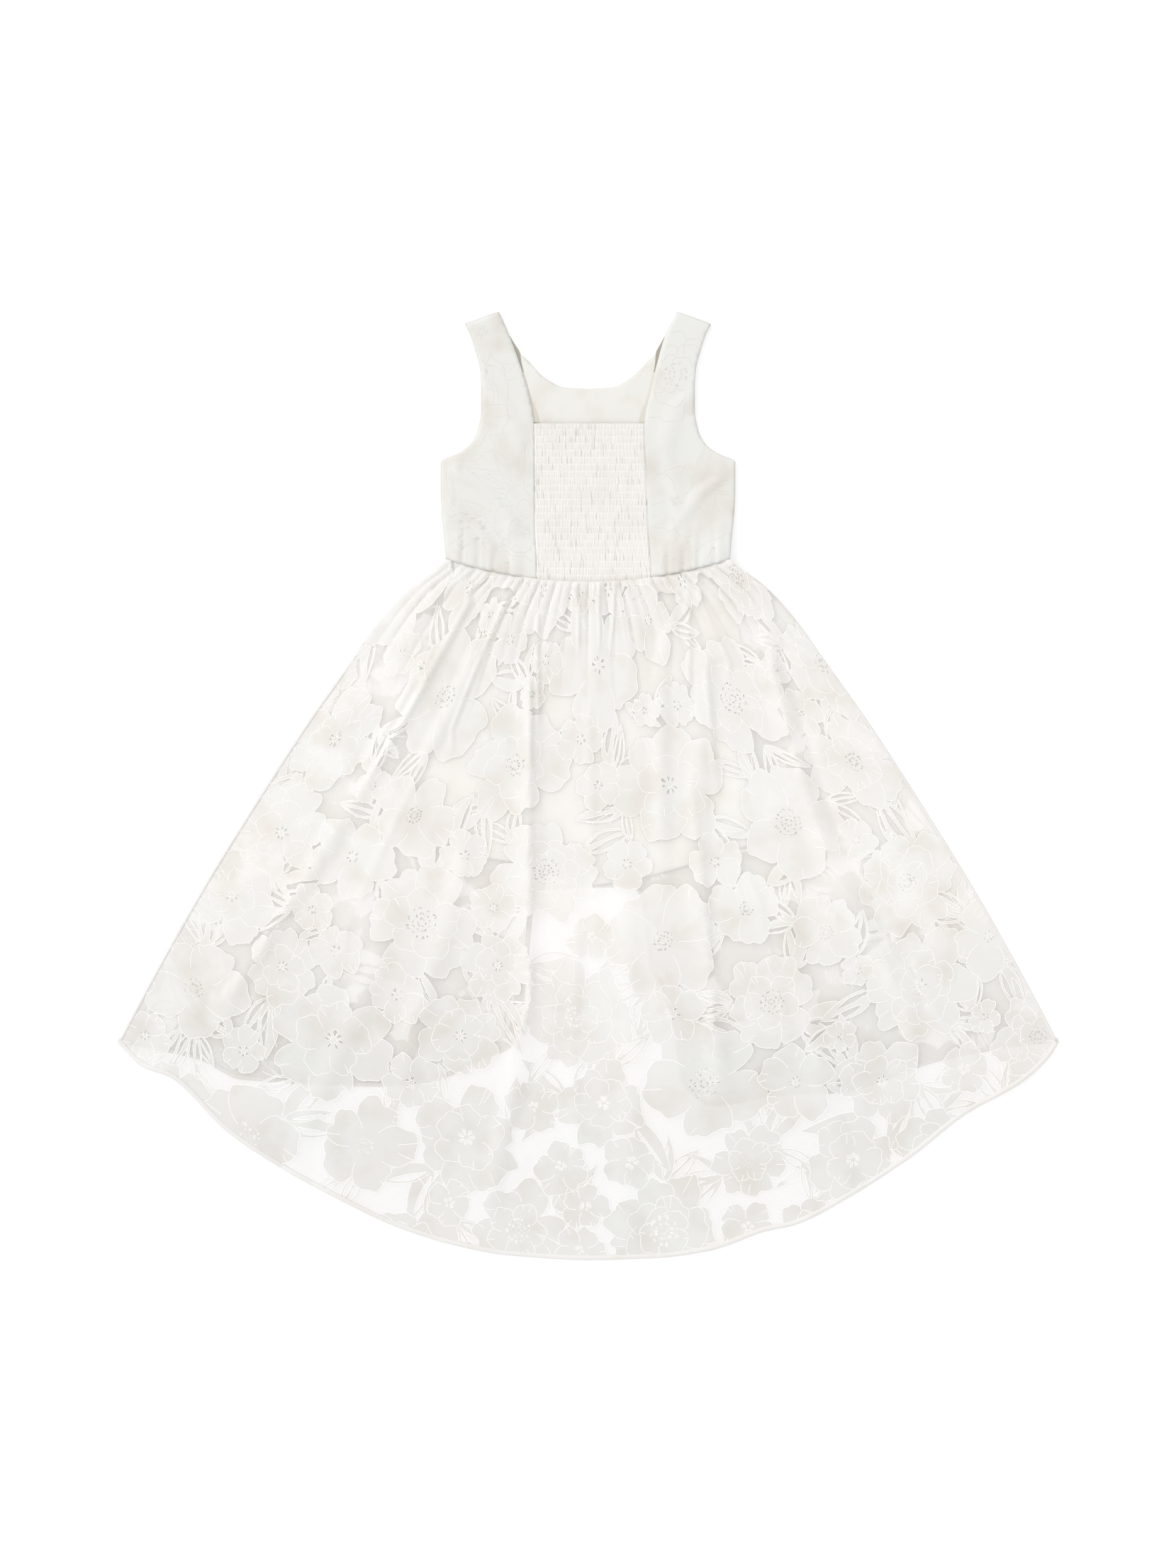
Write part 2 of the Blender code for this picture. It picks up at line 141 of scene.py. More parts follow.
# Half width of the skirt by its distance below the waist
half_width = Curve((
    (0.000, WAIST_HALF),
    (0.008, 0.155),
    (0.022, 0.175),
    (0.037, 0.192),
    (0.066, 0.217),
    (0.103, 0.243),
    (0.168, 0.289),
    (0.256, 0.346),
    (0.344, 0.400),
    (0.431, 0.449),
    (0.498, 0.4844),
    (0.700, 0.591),
))

# Hem of the back skirt: down by across
back_hem = Curve((
    (-0.4844, 0.7523),
    (-0.4595, 0.7764),
    (-0.4303, 0.7873),
    (-0.3719, 0.8435),
    (-0.3135, 0.8829),
    (-0.2551, 0.9143),
    (-0.1967, 0.9421),
    (-0.1383, 0.9603),
    (-0.0799, 0.9713),
    (0.0000, 0.9757),
    (0.0661, 0.9742),
    (0.1245, 0.9662),
    (0.1829, 0.9464),
    (0.2121, 0.9399),
    (0.2705, 0.9100),
    (0.3289, 0.8727),
    (0.3873, 0.8267),
    (0.4457, 0.7931),
    (0.4749, 0.7669),
    (0.4844, 0.7523),
))

# Hem of the front skirt, with its arch in the middle: down by across
front_hem = Curve((
    (-0.4844, 0.7523),
    (-0.4011, 0.7698),
    (-0.3573, 0.7902),
    (-0.2135, 0.7975),
    (-0.1624, 0.7931),
    (-0.1077, 0.7698),
    (-0.0799, 0.7574),
    (-0.0690, 0.7370),
    (-0.0639, 0.7000),
    (-0.0602, 0.6490),
    (-0.0560, 0.6060),
    (-0.0450, 0.5960),
    (0.0450, 0.5920),
    (0.0560, 0.6060),
    (0.0610, 0.6705),
    (0.0748, 0.6953),
    (0.0887, 0.7413),
    (0.0938, 0.7902),
    (0.1296, 0.8179),
    (0.1975, 0.8070),
    (0.2588, 0.8041),
    (0.3676, 0.7698),
    (0.4632, 0.7540),
    (0.4844, 0.7523),
))

# Where the back skirt comes down over the arch of the front hem: down by across
arch_cover = Curve((
    (-0.4844, 0.7560),
    (-0.3500, 0.8000),
    (-0.1500, 0.8000),
    (-0.0500, 0.7400),
    (0.0000, 0.6600),
    (0.0500, 0.7400),
    (0.1400, 0.8250),
    (0.2600, 0.8100),
    (0.4844, 0.7560),
))

# Hem of the lining: down by share of the half width
lining_hem = Curve((
    (-1.00, 0.536),
    (-0.70, 0.556),
    (-0.35, 0.568),
    (0.00, 0.590),
    (0.30, 0.582),
    (0.60, 0.567),
    (1.00, 0.543),
))

# Armhole and side of the bodice: half width by down
BODICE_TOP_DOWN = 0.0128
SHOULDER_OUTER = 0.1267
bodice_side = Curve((
    (BODICE_TOP_DOWN, SHOULDER_OUTER),
    (0.0230, 0.1215),
    (0.0405, 0.1157),
    (0.0580, 0.1113),
    (0.0756, 0.1099),
    (0.1018, 0.1099),
    (0.1194, 0.1128),
    (0.1281, 0.1157),
    (0.1369, 0.1215),
    (0.1456, 0.1332),
    (0.1544, 0.1515),
    (0.1807, 0.1515),
    (0.2040, 0.1507),
    (0.2332, 0.1478),
    (WAIST_SIDE_DOWN, WAIST_HALF),
))

# Inner edge of each back panel, from the strap to the waist: across by down
INNER_EDGE_END = 0.2750
left_inner_edge = Curve((
    (0.0000, -0.0916),
    (0.0230, -0.0814),
    (0.0507, -0.0712),
    (0.0872, -0.0602),
    (0.1142, -0.0558),
    (0.1900, -0.0548),
    (INNER_EDGE_END, -0.0529),
))
right_inner_edge = Curve((
    (0.0000, 0.0916),
    (0.0252, 0.0792),
    (0.0529, 0.0712),
    (0.0821, 0.0639),
    (0.1150, 0.0580),
    (0.2040, 0.0610),
    (INNER_EDGE_END, 0.0653),
))

# Front neckline: down by across
SHOULDER_INNER = 0.0916
neckline = Curve((
    (0.0000, 0.0792),
    (0.0237, 0.0777),
    (0.0456, 0.0668),
    (0.0624, 0.0493),
    (0.0690, 0.0434),
    (0.0814, 0.0230),
    (SHOULDER_INNER, 0.0000),
))

# Folds, each a ridge through three places, or a trough where its height is below zero
Fold = namedtuple(
    "Fold", "top_across top_down mid_across mid_down low_across low_down height half_width"
)
BACK_FOLDS = (
    Fold(-0.130, 0.300, -0.254, 0.525, -0.374, 0.709, 0.0036, 0.021),
    Fold(-0.093, 0.290, -0.129, 0.386, -0.175, 0.471, 0.0024, 0.015),
    Fold(-0.129, 0.569, -0.152, 0.655, -0.185, 0.760, 0.0026, 0.020),
    Fold(-0.060, 0.401, -0.062, 0.700, -0.097, 0.892, 0.0038, 0.019),
    Fold(0.087, 0.308, 0.074, 0.396, 0.076, 0.560, 0.0030, 0.015),
    Fold(0.121, 0.380, 0.113, 0.560, 0.135, 0.760, 0.0028, 0.018),
    Fold(0.184, 0.351, 0.232, 0.518, 0.330, 0.720, 0.0038, 0.022),
    Fold(-0.205, 0.640, -0.255, 0.760, -0.300, 0.860, 0.0024, 0.021),
    Fold(0.040, 0.640, 0.045, 0.760, 0.040, 0.930, 0.0022, 0.021),
    Fold(0.205, 0.640, 0.235, 0.760, 0.262, 0.880, 0.0024, 0.021),
)
FRONT_FOLDS = (
    Fold(-0.190, 0.420, -0.280, 0.580, -0.360, 0.740, FRONT_FOLD_HEIGHT, 0.022),
    Fold(-0.110, 0.560, -0.130, 0.660, -0.150, 0.770, FRONT_FOLD_HEIGHT, 0.020),
    Fold(0.110, 0.560, 0.130, 0.660, 0.160, 0.780, FRONT_FOLD_HEIGHT, 0.020),
    Fold(0.190, 0.420, 0.280, 0.580, 0.360, 0.740, FRONT_FOLD_HEIGHT, 0.022),
)
BACK_CREASES = (
    Fold(-0.060, 0.395, -0.060, 0.700, -0.075, 0.760, 0.0030, 0.0060),
    Fold(-0.052, 0.327, -0.052, 0.365, -0.051, 0.400, 0.0022, 0.0045),
    Fold(-0.012, 0.288, -0.010, 0.307, -0.010, 0.330, 0.0020, 0.0035),
    Fold(0.011, 0.295, 0.011, 0.310, 0.012, 0.327, 0.0020, 0.0035),
    Fold(0.027, 0.290, 0.026, 0.308, 0.024, 0.334, 0.0020, 0.0035),
    Fold(-0.175, 0.385, -0.259, 0.529, -0.374, 0.696, -0.0020, 0.0090),
    Fold(-0.122, 0.300, -0.190, 0.420, -0.330, 0.640, 0.0018, 0.0070),
    Fold(-0.085, 0.300, -0.112, 0.360, -0.140, 0.430, 0.0016, 0.0050),
    Fold(0.102, 0.300, 0.104, 0.340, 0.104, 0.372, 0.0018, 0.0045),
    Fold(0.115, 0.296, 0.130, 0.330, 0.145, 0.360, 0.0016, 0.0050),
    Fold(0.122, 0.380, 0.128, 0.440, 0.132, 0.485, 0.0018, 0.0060),
    Fold(0.106, 0.493, 0.118, 0.585, 0.130, 0.722, 0.0018, 0.0070),
    Fold(0.190, 0.370, 0.240, 0.540, 0.313, 0.685, 0.0018, 0.0080),
    Fold(0.200, 0.360, 0.256, 0.530, 0.345, 0.700, -0.0016, 0.0090),
    Fold(-0.176, 0.480, -0.215, 0.560, -0.250, 0.640, 0.0012, 0.0080),
    Fold(0.000, 0.420, 0.004, 0.520, 0.010, 0.600, 0.0012, 0.0090),
    Fold(0.160, 0.560, 0.185, 0.650, 0.205, 0.740, 0.0012, 0.0100),
    Fold(-0.010, 0.640, -0.015, 0.740, -0.012, 0.860, 0.0012, 0.0100),
)


def mix(a, b, share):
    return a + (b - a) * share


def spread(first, last, steps):
    return [mix(first, last, i / steps) for i in range(steps + 1)]


def fade(distance, length):
    """One until distance is zero, then falling smoothly to zero at length."""
    t = min(max(distance / length, 0.0), 1.0)
    return 1 - t * t * (3 - 2 * t)


def mirrored(line):
    """A line on the right, told from its other end on the left."""
    return [(-across, down) for across, down in line[::-1]]


# The skirt's fan: a place is its share of the half width and its distance below the waist


def waist_down(share):
    """The waist seam is a shallow arc, lowest in the middle."""
    return mix(WAIST_MIDDLE_DOWN, WAIST_SIDE_DOWN, min(share * share, 1.0))


def fan(share, below):
    return share * half_width(below), waist_down(share) + below


def reach(share, hem, shortest=0.1, halvings=20):
    """How far below the waist a line of the fan meets a hem."""
    step = 0.004
    below = shortest

    def past(trial):
        across, down = fan(share, trial)
        return down >= hem(across)

    while not past(below):
        below += step
    short, far = below - step, below
    for _ in range(halvings):
        middle = (short + far) / 2
        if past(middle):
            far = middle
        else:
            short = middle
    return far


def lining_half_width(share, below):
    hem_half = LINING_LEFT_HALF if share < 0 else LINING_RIGHT_HALF
    return mix(WAIST_HALF, hem_half, below / LINING_LENGTH)


# Heights of gathers and folds


def gather(share, below, height, count=SKIRT_GATHERS):
    """Rounded puffs between sharp valleys, every other one deep, each with its length and lean."""
    turn = min(max((share + 1) / 2 * count, 0.0), count - 1e-6)
    index = int(turn)
    unevenness = ((2 * index + 1) * GOLDEN) % 1
    small = math.sin(math.pi * (turn - index)) ** 0.7
    length = mix(SHORTEST_GATHER, LONGEST_GATHER, unevenness)
    small *= mix(*SMALL_PUFFS, unevenness) * fade(below, length)
    pleat = index // 2
    bulk = (pleat * GOLDEN + 0.3) % 1
    lean = mix(*PLEAT_LEANS, (pleat * GOLDEN * GOLDEN) % 1)
    large = math.sin(math.pi * (turn / 2 - pleat) ** lean) ** 0.55
    large *= mix(*LARGE_PUFFS, bulk) * fade(below, mix(*LARGE_LENGTHS, bulk) * LONGEST_GATHER)
    return height * (SMALL_SHARE * small + LARGE_SHARE * large)


def fold_line(crease):
    return Curve((
        (crease.top_down, crease.top_across),
        (crease.mid_down, crease.mid_across),
        (crease.low_down, crease.low_across),
    ))


FOLD_LINES = {crease: fold_line(crease) for crease in BACK_FOLDS + FRONT_FOLDS + BACK_CREASES}


def fold(crease, across, down, end=FOLD_END):
    """Height of a fold at a place: round across it, and fading over a length past its ends."""
    if not crease.top_down - end < down < crease.low_down + end:
        return 0.0
    aside = abs(across - FOLD_LINES[crease](down)) / crease.half_width
    if aside >= 1:
        return 0.0
    ends = fade(crease.top_down - down, end) * fade(down - crease.low_down, end)
    return crease.height * ends * (1 + math.cos(math.pi * aside)) / 2


def hem_wave(share, short_of_hem):
    wave = (1 - math.cos(FULL_TURN * HEM_WAVES * (share + 1) / 2)) / 2
    return HEM_WAVE_HEIGHT * wave * fade(short_of_hem, HEM_WAVE_LENGTH)


# Undersides of the skirt's layers


def front_lining_level(below):
    gathers = (FRONT_GATHER_HEIGHT + LAYER_PLAY) * fade(below, LONGEST_GATHER + 0.02)
    return CLOTH + SEAM_GAP + LAYER_PLAY + gathers


def back_lining_level(below):
    return front_lining_level(below) + CLOTH + LAYER_PLAY


# How far past the lining's side, the lining's hem and the front hem the back skirt comes down
SIDE_SLOPE = 0.05
LINING_HEM_SLOPE = 0.12
FRONT_HEM_SLOPE = 0.07
EDGE_LEDGE = 0.004
HEM_LEDGE = 0.012


def back_skirt_level(share, below):
    """Top of what lies under the back skirt: both linings, the front skirt, or nothing."""
    across, down = fan(share, below)
    on_front = CLOTH + SEAM_GAP + (FRONT_FOLD_HEIGHT + LAYER_PLAY) * fade(abs(share) - 0.86, 0.12)
    lining_top = back_lining_level(below) + CLOTH + LAYER_PLAY + 2 * LINING_RIPPLE
    beside = abs(across) - lining_half_width(share, below)
    past_hem = down - lining_hem(max(-1.0, min(1.0, across / LINING_LEFT_HALF)))
    over_side = fade(beside - EDGE_LEDGE, SIDE_SLOPE)
    over_lining = over_side * fade(past_hem - HEM_LEDGE, LINING_HEM_SLOPE)
    over_front = fade(down - arch_cover(across) - EDGE_LEDGE, FRONT_HEM_SLOPE)
    return mix(on_front * over_front, lining_top, over_lining)


def above_waist(across, down):
    return waist_down(across / WAIST_HALF) - down


def back_bodice_level(across, down):
    """Underside of the back bodice, which rises to the gathered skirt at the waist."""
    rise = fade(above_waist(across, down), WAIST_RISE_LENGTH)
    return mix(BACK_LEVEL, back_skirt_level(0.0, 0.0), rise)


def front_lining_bodice_level(across, down):
    rise = fade(above_waist(across, down), WAIST_RISE_LENGTH / 2)
    return mix(FRONT_LINING_LEVEL, front_lining_level(0.0), rise)


# From a flat cut to the laid dress


def at(across, down, height):
    return (across, SHOULDER_Y - down, height)


def cut_half_width(below):
    """Half width of the skirt's cut, which the gathers draw in at the waist."""
    return half_width(below) + GATHER_FULLNESS * fade(below, GATHER_REACH)


# How far the rows of a panel's mesh and its threads keep from its edges
FIRST_ROW = 0.0016
LAST_ROW_CLEAR = 0.002
THREAD_CLEAR = 0.003
THREAD_SIDE_CLEAR = 0.001
ROW_CROWDING = 1.35


class SkirtPanel:
    """One organza skirt panel: its cut is in (across, below), before the gathers draw it in."""

    def __init__(self, hem, height):
        self.hem = hem
        self.height = height
        self.edge = Curve([self.hem_cut(i / 60 - 1) for i in range(121)])

    def laid(self, cut_across, below):
        share = cut_across / cut_half_width(below)
        across, down = fan(share, below)
        return at(across, down, self.height(share, below))

    def hem_cut(self, share):
        below = reach(share, self.hem)
        return share * cut_half_width(below), below

    def outline(self, steps=360, rows=90):
        """The cut's outline: along the waist, down the right side, along the hem and up."""
        shares = [2 * i / steps - 1 for i in range(steps + 1)]
        side = reach(1.0, self.hem)
        waist = [(share * cut_half_width(HALF_GAP), HALF_GAP) for share in shares]
        belows = [side * j / rows for j in range(1, rows)]
        right = [(cut_half_width(below), below) for below in belows]
        hem = [self.hem_cut(share) for share in shares[::-1]]
        return waist + right + hem + mirrored(right)

    def grid(self, columns, rows):
        """Rows crowd towards the waist, and every other column ends with the gathers."""
        points = []
        for i in range(1, columns):
            share = 2 * i / columns - 1
            far = reach(share, self.hem) - LAST_ROW_CLEAR
            for j in range(rows):
                below = mix(FIRST_ROW, far, (j / (rows - 1)) ** ROW_CROWDING)
                if i % 2 == 0 or below < LONGEST_GATHER:
                    points.append((share * cut_half_width(below), below))
        return points

    def holds(self, across, below):
        """Whether a place on the cut is clear of its edges."""
        if below < THREAD_CLEAR or abs(across) > cut_half_width(below) - THREAD_SIDE_CLEAR:
            return False
        return below < self.edge(across) - THREAD_CLEAR


def soft(across, down, size, depth, seed):
    """Soft uneven swelling of a cloth."""
    return depth * noise(Vector((across / size, down / size, seed)))


# The waist seam holds the gathers flat, level with the bodice's edge
SEAM_HEIGHT = 0.0016
SEAM_HOLD = 0.005
CREASE_END = 0.03
PUCKER_HEIGHT = 0.00025
PUCKERS = 330
SWELL_SIZE = 0.06
SWELL_HEIGHT = 0.0009
SWELL_BASE = 0.0005


def back_skirt_height(share, below):
    across, down = fan(share, below)
    inner = fade(abs(share) - 0.9, 0.1)
    far = max(back_hem(across) - down, 0.0)
    ridges = max(fold(crease, across, down) for crease in BACK_FOLDS)
    ridges = max(ridges, hem_wave(share, far)) * inner
    creases = sum(fold(crease, across, down, CREASE_END) for crease in BACK_CREASES) * inner
    gathers = gather(share, below, BACK_GATHER_HEIGHT)
    puckers = PUCKER_HEIGHT * math.sin(share * PUCKERS) * fade(below, 0.03)
    swell = SWELL_BASE + soft(across, down, SWELL_SIZE, SWELL_HEIGHT, 3.1)
    level = back_skirt_level(share, below) + 0.0001
    relief = max(gathers, ridges) + creases + puckers + swell * inner
    return level + mix(relief, SEAM_HEIGHT, fade(below, SEAM_HOLD))


def front_skirt_height(share, below):
    across, down = fan(share, below)
    inner = fade(abs(share) - 0.8, 0.1)
    ridges = max(fold(crease, across, down) for crease in FRONT_FOLDS) * inner
    return CLOTH + max(gather(share, below, FRONT_GATHER_HEIGHT), ridges)


# Flower and leaf figures, in the flat cut's own metres

ANGLES = 180
OUTLINE_STEP = 0.0020
PETAL_SWAY = 0.16
PETAL_LENGTHS = (0.86, 1.08)
PETAL_WIDTHS = (1.2, 1.5)
LEAST_PETAL = 0.35
RIM_SHOWS_FROM = 0.26
VEIN_PLACES = (-0.7, 0.7)
VEIN_ENDS = (0.62, 0.85)
VEIN_BEND = 0.22
VEIN_STEPS = 5
DROP_SWAY = 0.2
DROP_START = 0.02
DROP_ENDS = (0.82, 1.05)
DROP_WIDTHS = (0.26, 0.38)
PETAL_WAVES = ((2.3, 0.050), (5.4, 0.044), (10.3, 0.032), (19.0, 0.013))


class Petal:
    """One petal, as a radius for each angle round its flower's middle."""

    def __init__(self, axis, half_angle, radius, rng):
        self.axis, self.half_angle, self.radius = axis, half_angle, radius
        self.waves = [(count, depth, rng.uniform(0, FULL_TURN)) for count, depth in PETAL_WAVES]

    def rim(self, angle):
        """How far the petal reaches at an angle, and zero beside it."""
        aside = (angle - self.axis + math.pi) % FULL_TURN - math.pi
        aside /= self.half_angle
        if abs(aside) >= 1:
            return 0.0
        ruffle = sum(depth * math.sin(count * aside + start) for count, depth, start in self.waves)
        return self.radius * (1 - abs(aside) ** 3.0) ** 0.45 * (1 + ruffle)


# A drop's outline: share of its length and of its half width
DROP_SHAPE = ((0.0, 0.0), (0.35, -0.75), (0.65, -1.0), (0.9, -0.65), (1.0, 0.0), (0.9, 0.65),
              (0.65, 1.0), (0.35, 0.75))


class Flower:
    """A flower seen from above, of rings of petals that overlap, with open drops in its middle."""

    def __init__(self, across, down, radius, size, rng):
        self.across, self.down, self.radius = across, down, radius
        self.petals = []
        for share, count in rng.choice(size.rings):
            turn = rng.uniform(0, FULL_TURN)
            order = list(range(count))
            rng.shuffle(order)
            for i in order:
                axis = turn + FULL_TURN * i / count + rng.uniform(-PETAL_SWAY, PETAL_SWAY)
                long = radius * share * rng.uniform(*PETAL_LENGTHS)
                half_angle = rng.uniform(*PETAL_WIDTHS) * math.pi / count
                self.petals.append(Petal(axis, half_angle, long, rng))
        turns = [FULL_TURN * k / ANGLES for k in range(ANGLES)]
        self.rims = [[petal.rim(turn) for turn in turns] for petal in self.petals]
        self.edges = [max(max(rims), LEAST_PETAL * radius) for rims in zip(*self.rims)]
        self.drops = self.open_drops(rng.choice(size.drops), rng)
        self.vein_places = [
            [(rng.uniform(*VEIN_PLACES), rng.uniform(*VEIN_ENDS)) for _ in range(rng.choice((0, 1, 2)))]
            for _ in self.petals
        ]

    def point(self, angle, radius):
        return self.across + radius * math.cos(angle), self.down + radius * math.sin(angle)

    def outline(self):
        step = max(1, round(OUTLINE_STEP * ANGLES / (FULL_TURN * self.radius)))
        return [
            self.point(FULL_TURN * k / ANGLES, self.edges[k]) for k in range(0, ANGLES, step)
        ]

    def covers(self, across, down):
        x, y = across - self.across, down - self.down
        turn = math.atan2(y, x) % FULL_TURN / FULL_TURN * ANGLES
        return math.hypot(x, y) < self.edges[int(turn) % ANGLES]

    def open_drops(self, rings, rng):
        """Open drops in rings round the middle, each of its own length and lean."""
        drops = []
        for count, near, far in rings:
            turn = rng.uniform(0, FULL_TURN)
            for i in range(count):
                angle = turn + FULL_TURN * (i + rng.uniform(-DROP_SWAY, DROP_SWAY)) / count
                start = near + rng.uniform(0, DROP_START)
                end = far * rng.uniform(*DROP_ENDS)
                wide = rng.uniform(*DROP_WIDTHS) * FULL_TURN / count
                lean = rng.uniform(-DROP_SWAY, DROP_SWAY)
                drops.append([
                    self.point(angle + lean * far_share + wide * aside,
                               self.radius * mix(start, end, far_share))
                    for far_share, aside in DROP_SHAPE
                ])
        return drops

    def threads(self):
        """The rims of the petals where no petal on top hides them, a few veins, and the drops."""
        lines = []
        for number, rims in enumerate(self.rims):
            over = self.rims[number + 1:]
            tops = [max((other[k] for other in over), default=0.0) for k in range(ANGLES)]
            least = RIM_SHOWS_FROM * self.radius
            shown = [rim > max(top, least) for rim, top in zip(rims, tops)]
            for arc in shown_arcs(shown):
                lines.append([self.point(FULL_TURN * k / ANGLES, rims[k]) for k in arc])
            lines += self.veins(number, tops)
        return lines + [closed(drop) for drop in self.drops]

    def veins(self, number, tops):
        """Short curved lines that run in from the notches of a petal's rim."""
        petal = self.petals[number]
        lines = []
        for aside, inner in self.vein_places[number]:
            angle = petal.axis + aside * petal.half_angle
            k = int(angle % FULL_TURN / FULL_TURN * ANGLES) % ANGLES
            first, last = inner * petal.radius, self.rims[number][k]
            if first > tops[k]:
                bend = VEIN_BEND * aside
                lines.append([
                    self.point(angle - bend * part ** 2, mix(last, first, part))
                    for part in spread(0, 1, VEIN_STEPS)
                ])
        return lines


LEAF_STEPS = 14
SLIT_STEPS = 6
COVER_SHARE = 0.98


def leaf_body(along):
    """Share of a leaf's half width at a share of its length."""
    return math.sin(math.pi * along ** 0.8) ** 0.85


class Leaf:
    """A pointed leaf with a bent spine and long open slits beside it."""

    def __init__(self, across, down, length, width, turn, bend, slits):
        self.across, self.down = across, down
        self.length, self.width, self.turn, self.bend = length, width, turn, bend
        self.drops = [self.slit(*slit) for slit in slits]

    def point(self, along, aside):
        """A place at a share along the spine and a share of the half width beside it."""
        body = leaf_body(min(max(along, 0.0), 1.0))
        x = self.length * along
        y = self.width * body * aside + self.spine(along)
        return (
            self.across + x * math.cos(self.turn) - y * math.sin(self.turn),
            self.down + x * math.sin(self.turn) + y * math.cos(self.turn),
        )

    def spine(self, along):
        """How far the spine has bent aside."""
        return self.length * self.bend * along * along * 0.5

    def outline(self):
        up = [self.point(i / LEAF_STEPS, -1.0) for i in range(LEAF_STEPS)]
        back = [self.point(1 - i / LEAF_STEPS, 1.0) for i in range(LEAF_STEPS)]
        return up + back

    def covers(self, across, down):
        x, y = across - self.across, down - self.down
        along = (x * math.cos(self.turn) + y * math.sin(self.turn)) / self.length
        if not 0 < along < 1:
            return False
        aside = y * math.cos(self.turn) - x * math.sin(self.turn)
        aside -= self.spine(along)
        return abs(aside) < self.width * leaf_body(along) * COVER_SHARE

    def slit(self, first, last, aside, wide):
        widths = [wide * math.sin(math.pi * i / SLIT_STEPS) ** 0.8 for i in range(SLIT_STEPS + 1)]
        alongs = spread(first, last, SLIT_STEPS)
        up = [self.point(along, aside - half) for along, half in zip(alongs, widths)]
        back = [self.point(along, aside + half) for along, half in zip(alongs, widths)]
        return up + back[-2:0:-1]

    def threads(self):
        return [closed(self.outline())] + [closed(drop) for drop in self.drops]


TENDRIL_STEPS = 8
TENDRIL_FAN = 0.15
TENDRIL_CURL = 0.30
TENDRIL_SHORTER = 0.08


class Tendrils:
    """A fan of fine curved threads, with no cloth figure of its own."""

    def __init__(self, across, down, length, turn, count):
        self.across, self.down, self.length, self.turn, self.count = across, down, length, turn, count
        self.drops = []

    def outline(self):
        return None

    def covers(self, across, down):
        return False

    def threads(self):
        lines = []
        for k in range(self.count):
            side = k - (self.count - 1) / 2
            line = []
            for i in range(TENDRIL_STEPS + 1):
                far = self.length * i / TENDRIL_STEPS * (1 - TENDRIL_SHORTER * abs(side))
                curl = TENDRIL_CURL * side * (i / TENDRIL_STEPS) ** 2
                angle = self.turn + TENDRIL_FAN * side + curl
                line.append((self.across + far * math.cos(angle), self.down + far * math.sin(angle)))
            lines.append(line)
        return lines


def shown_arcs(shown):
    """The stretches of true values round a ring, as lists of places."""
    if all(shown):
        return [list(range(len(shown))) + [0]]
    arcs, arc = [], []
    first = shown.index(False)
    for k in range(first, first + len(shown) + 1):
        if shown[k % len(shown)]:
            arc.append(k % len(shown))
        elif arc:
            arcs.append(arc)
            arc = []
    return [arc for arc in arcs if len(arc) > 1]


def closed(line):
    return line + [line[0]]


def turned_area(loop):
    """Area inside a closed loop, below zero where it runs clockwise."""
    pairs = zip(loop, closed(loop)[1:])
    return sum(x0 * y1 - x1 * y0 for (x0, y0), (x1, y1) in pairs) / 2


LARGE_FLOWER = 0.036
LEAF_LENGTHS = (0.040, 0.066)
LEAF_WIDTHS = (0.12, 0.20)
LEAF_BENDS = (-0.6, 0.6)
LEAF_SWAY = 0.7
ROOT_SWAY = 0.6
ROOT_SHARE = 0.82
SPRAYS = ((0.0,), (-0.40, 0.36), (-0.62, 0.66, 0.03))
TENDRIL_CHANCE = 0.2
TENDRIL_LENGTHS = (0.035, 0.055)

# Slits of a leaf: first and last place along it, place aside and half width
LEAF_SLITS = (
    ((0.10, 0.86, 0.46, 0.34), (0.14, 0.80, -0.46, 0.34)),
    ((0.10, 0.66, 0.48, 0.30), (0.30, 0.90, -0.44, 0.34)),
    ((0.12, 0.84, -0.45, 0.34),),
    ((0.16, 0.88, 0.42, 0.30),),
)

# Rings of petals are (share of the radius, petals), and rings of drops (drops, near, far)
RINGS_OF_PETALS = (((1.0, 6), (0.60, 5)), ((1.0, 7), (0.68, 5), (0.42, 4)), ((1.0, 5),))
RINGS_OF_DROPS = (
    ((6, 0.03, 0.08), (11, 0.10, 0.17), (17, 0.19, 0.27)),
    ((9, 0.04, 0.11), (14, 0.13, 0.20)),
    ((7, 0.03, 0.17),),
)
FlowerSize = namedtuple("FlowerSize", "radius spread rings drops apart to_a_square_metre")
FLOWER_SIZES = (
    FlowerSize(0.056, 0.009, RINGS_OF_PETALS, RINGS_OF_DROPS, 0.96, 58),
    FlowerSize(0.041, 0.005, RINGS_OF_PETALS[::2], RINGS_OF_DROPS[1:], 0.86, 34),
    FlowerSize(0.028, 0.004, RINGS_OF_PETALS[2:], (((6, 0.04, 0.22),), ((5, 0.06, 0.26),)), 0.84, 56),
    FlowerSize(0.019, 0.002, RINGS_OF_PETALS[2:], (((5, 0.06, 0.24),),), 0.90, 44),
)
TRIES = 40


def flowers_of(size, low, high, others, rng):
    """Flowers of one size, scattered clear of the middles of those there already."""
    wanted = round(size.to_a_square_metre * (high[0] - low[0]) * (high[1] - low[1]))
    made = []
    for _ in range(wanted * TRIES):
        if len(made) == wanted:
            break
        across, down = rng.uniform(low[0], high[0]), rng.uniform(low[1], high[1])
        radius = size.radius + rng.uniform(-size.spread, size.spread)
        crowded = any(
            math.hypot(f.across - across, f.down - down) < size.apart * (f.radius + radius)
            for f in others + made
        )
        if not crowded:
            made.append(Flower(across, down, radius, size, rng))
    return made


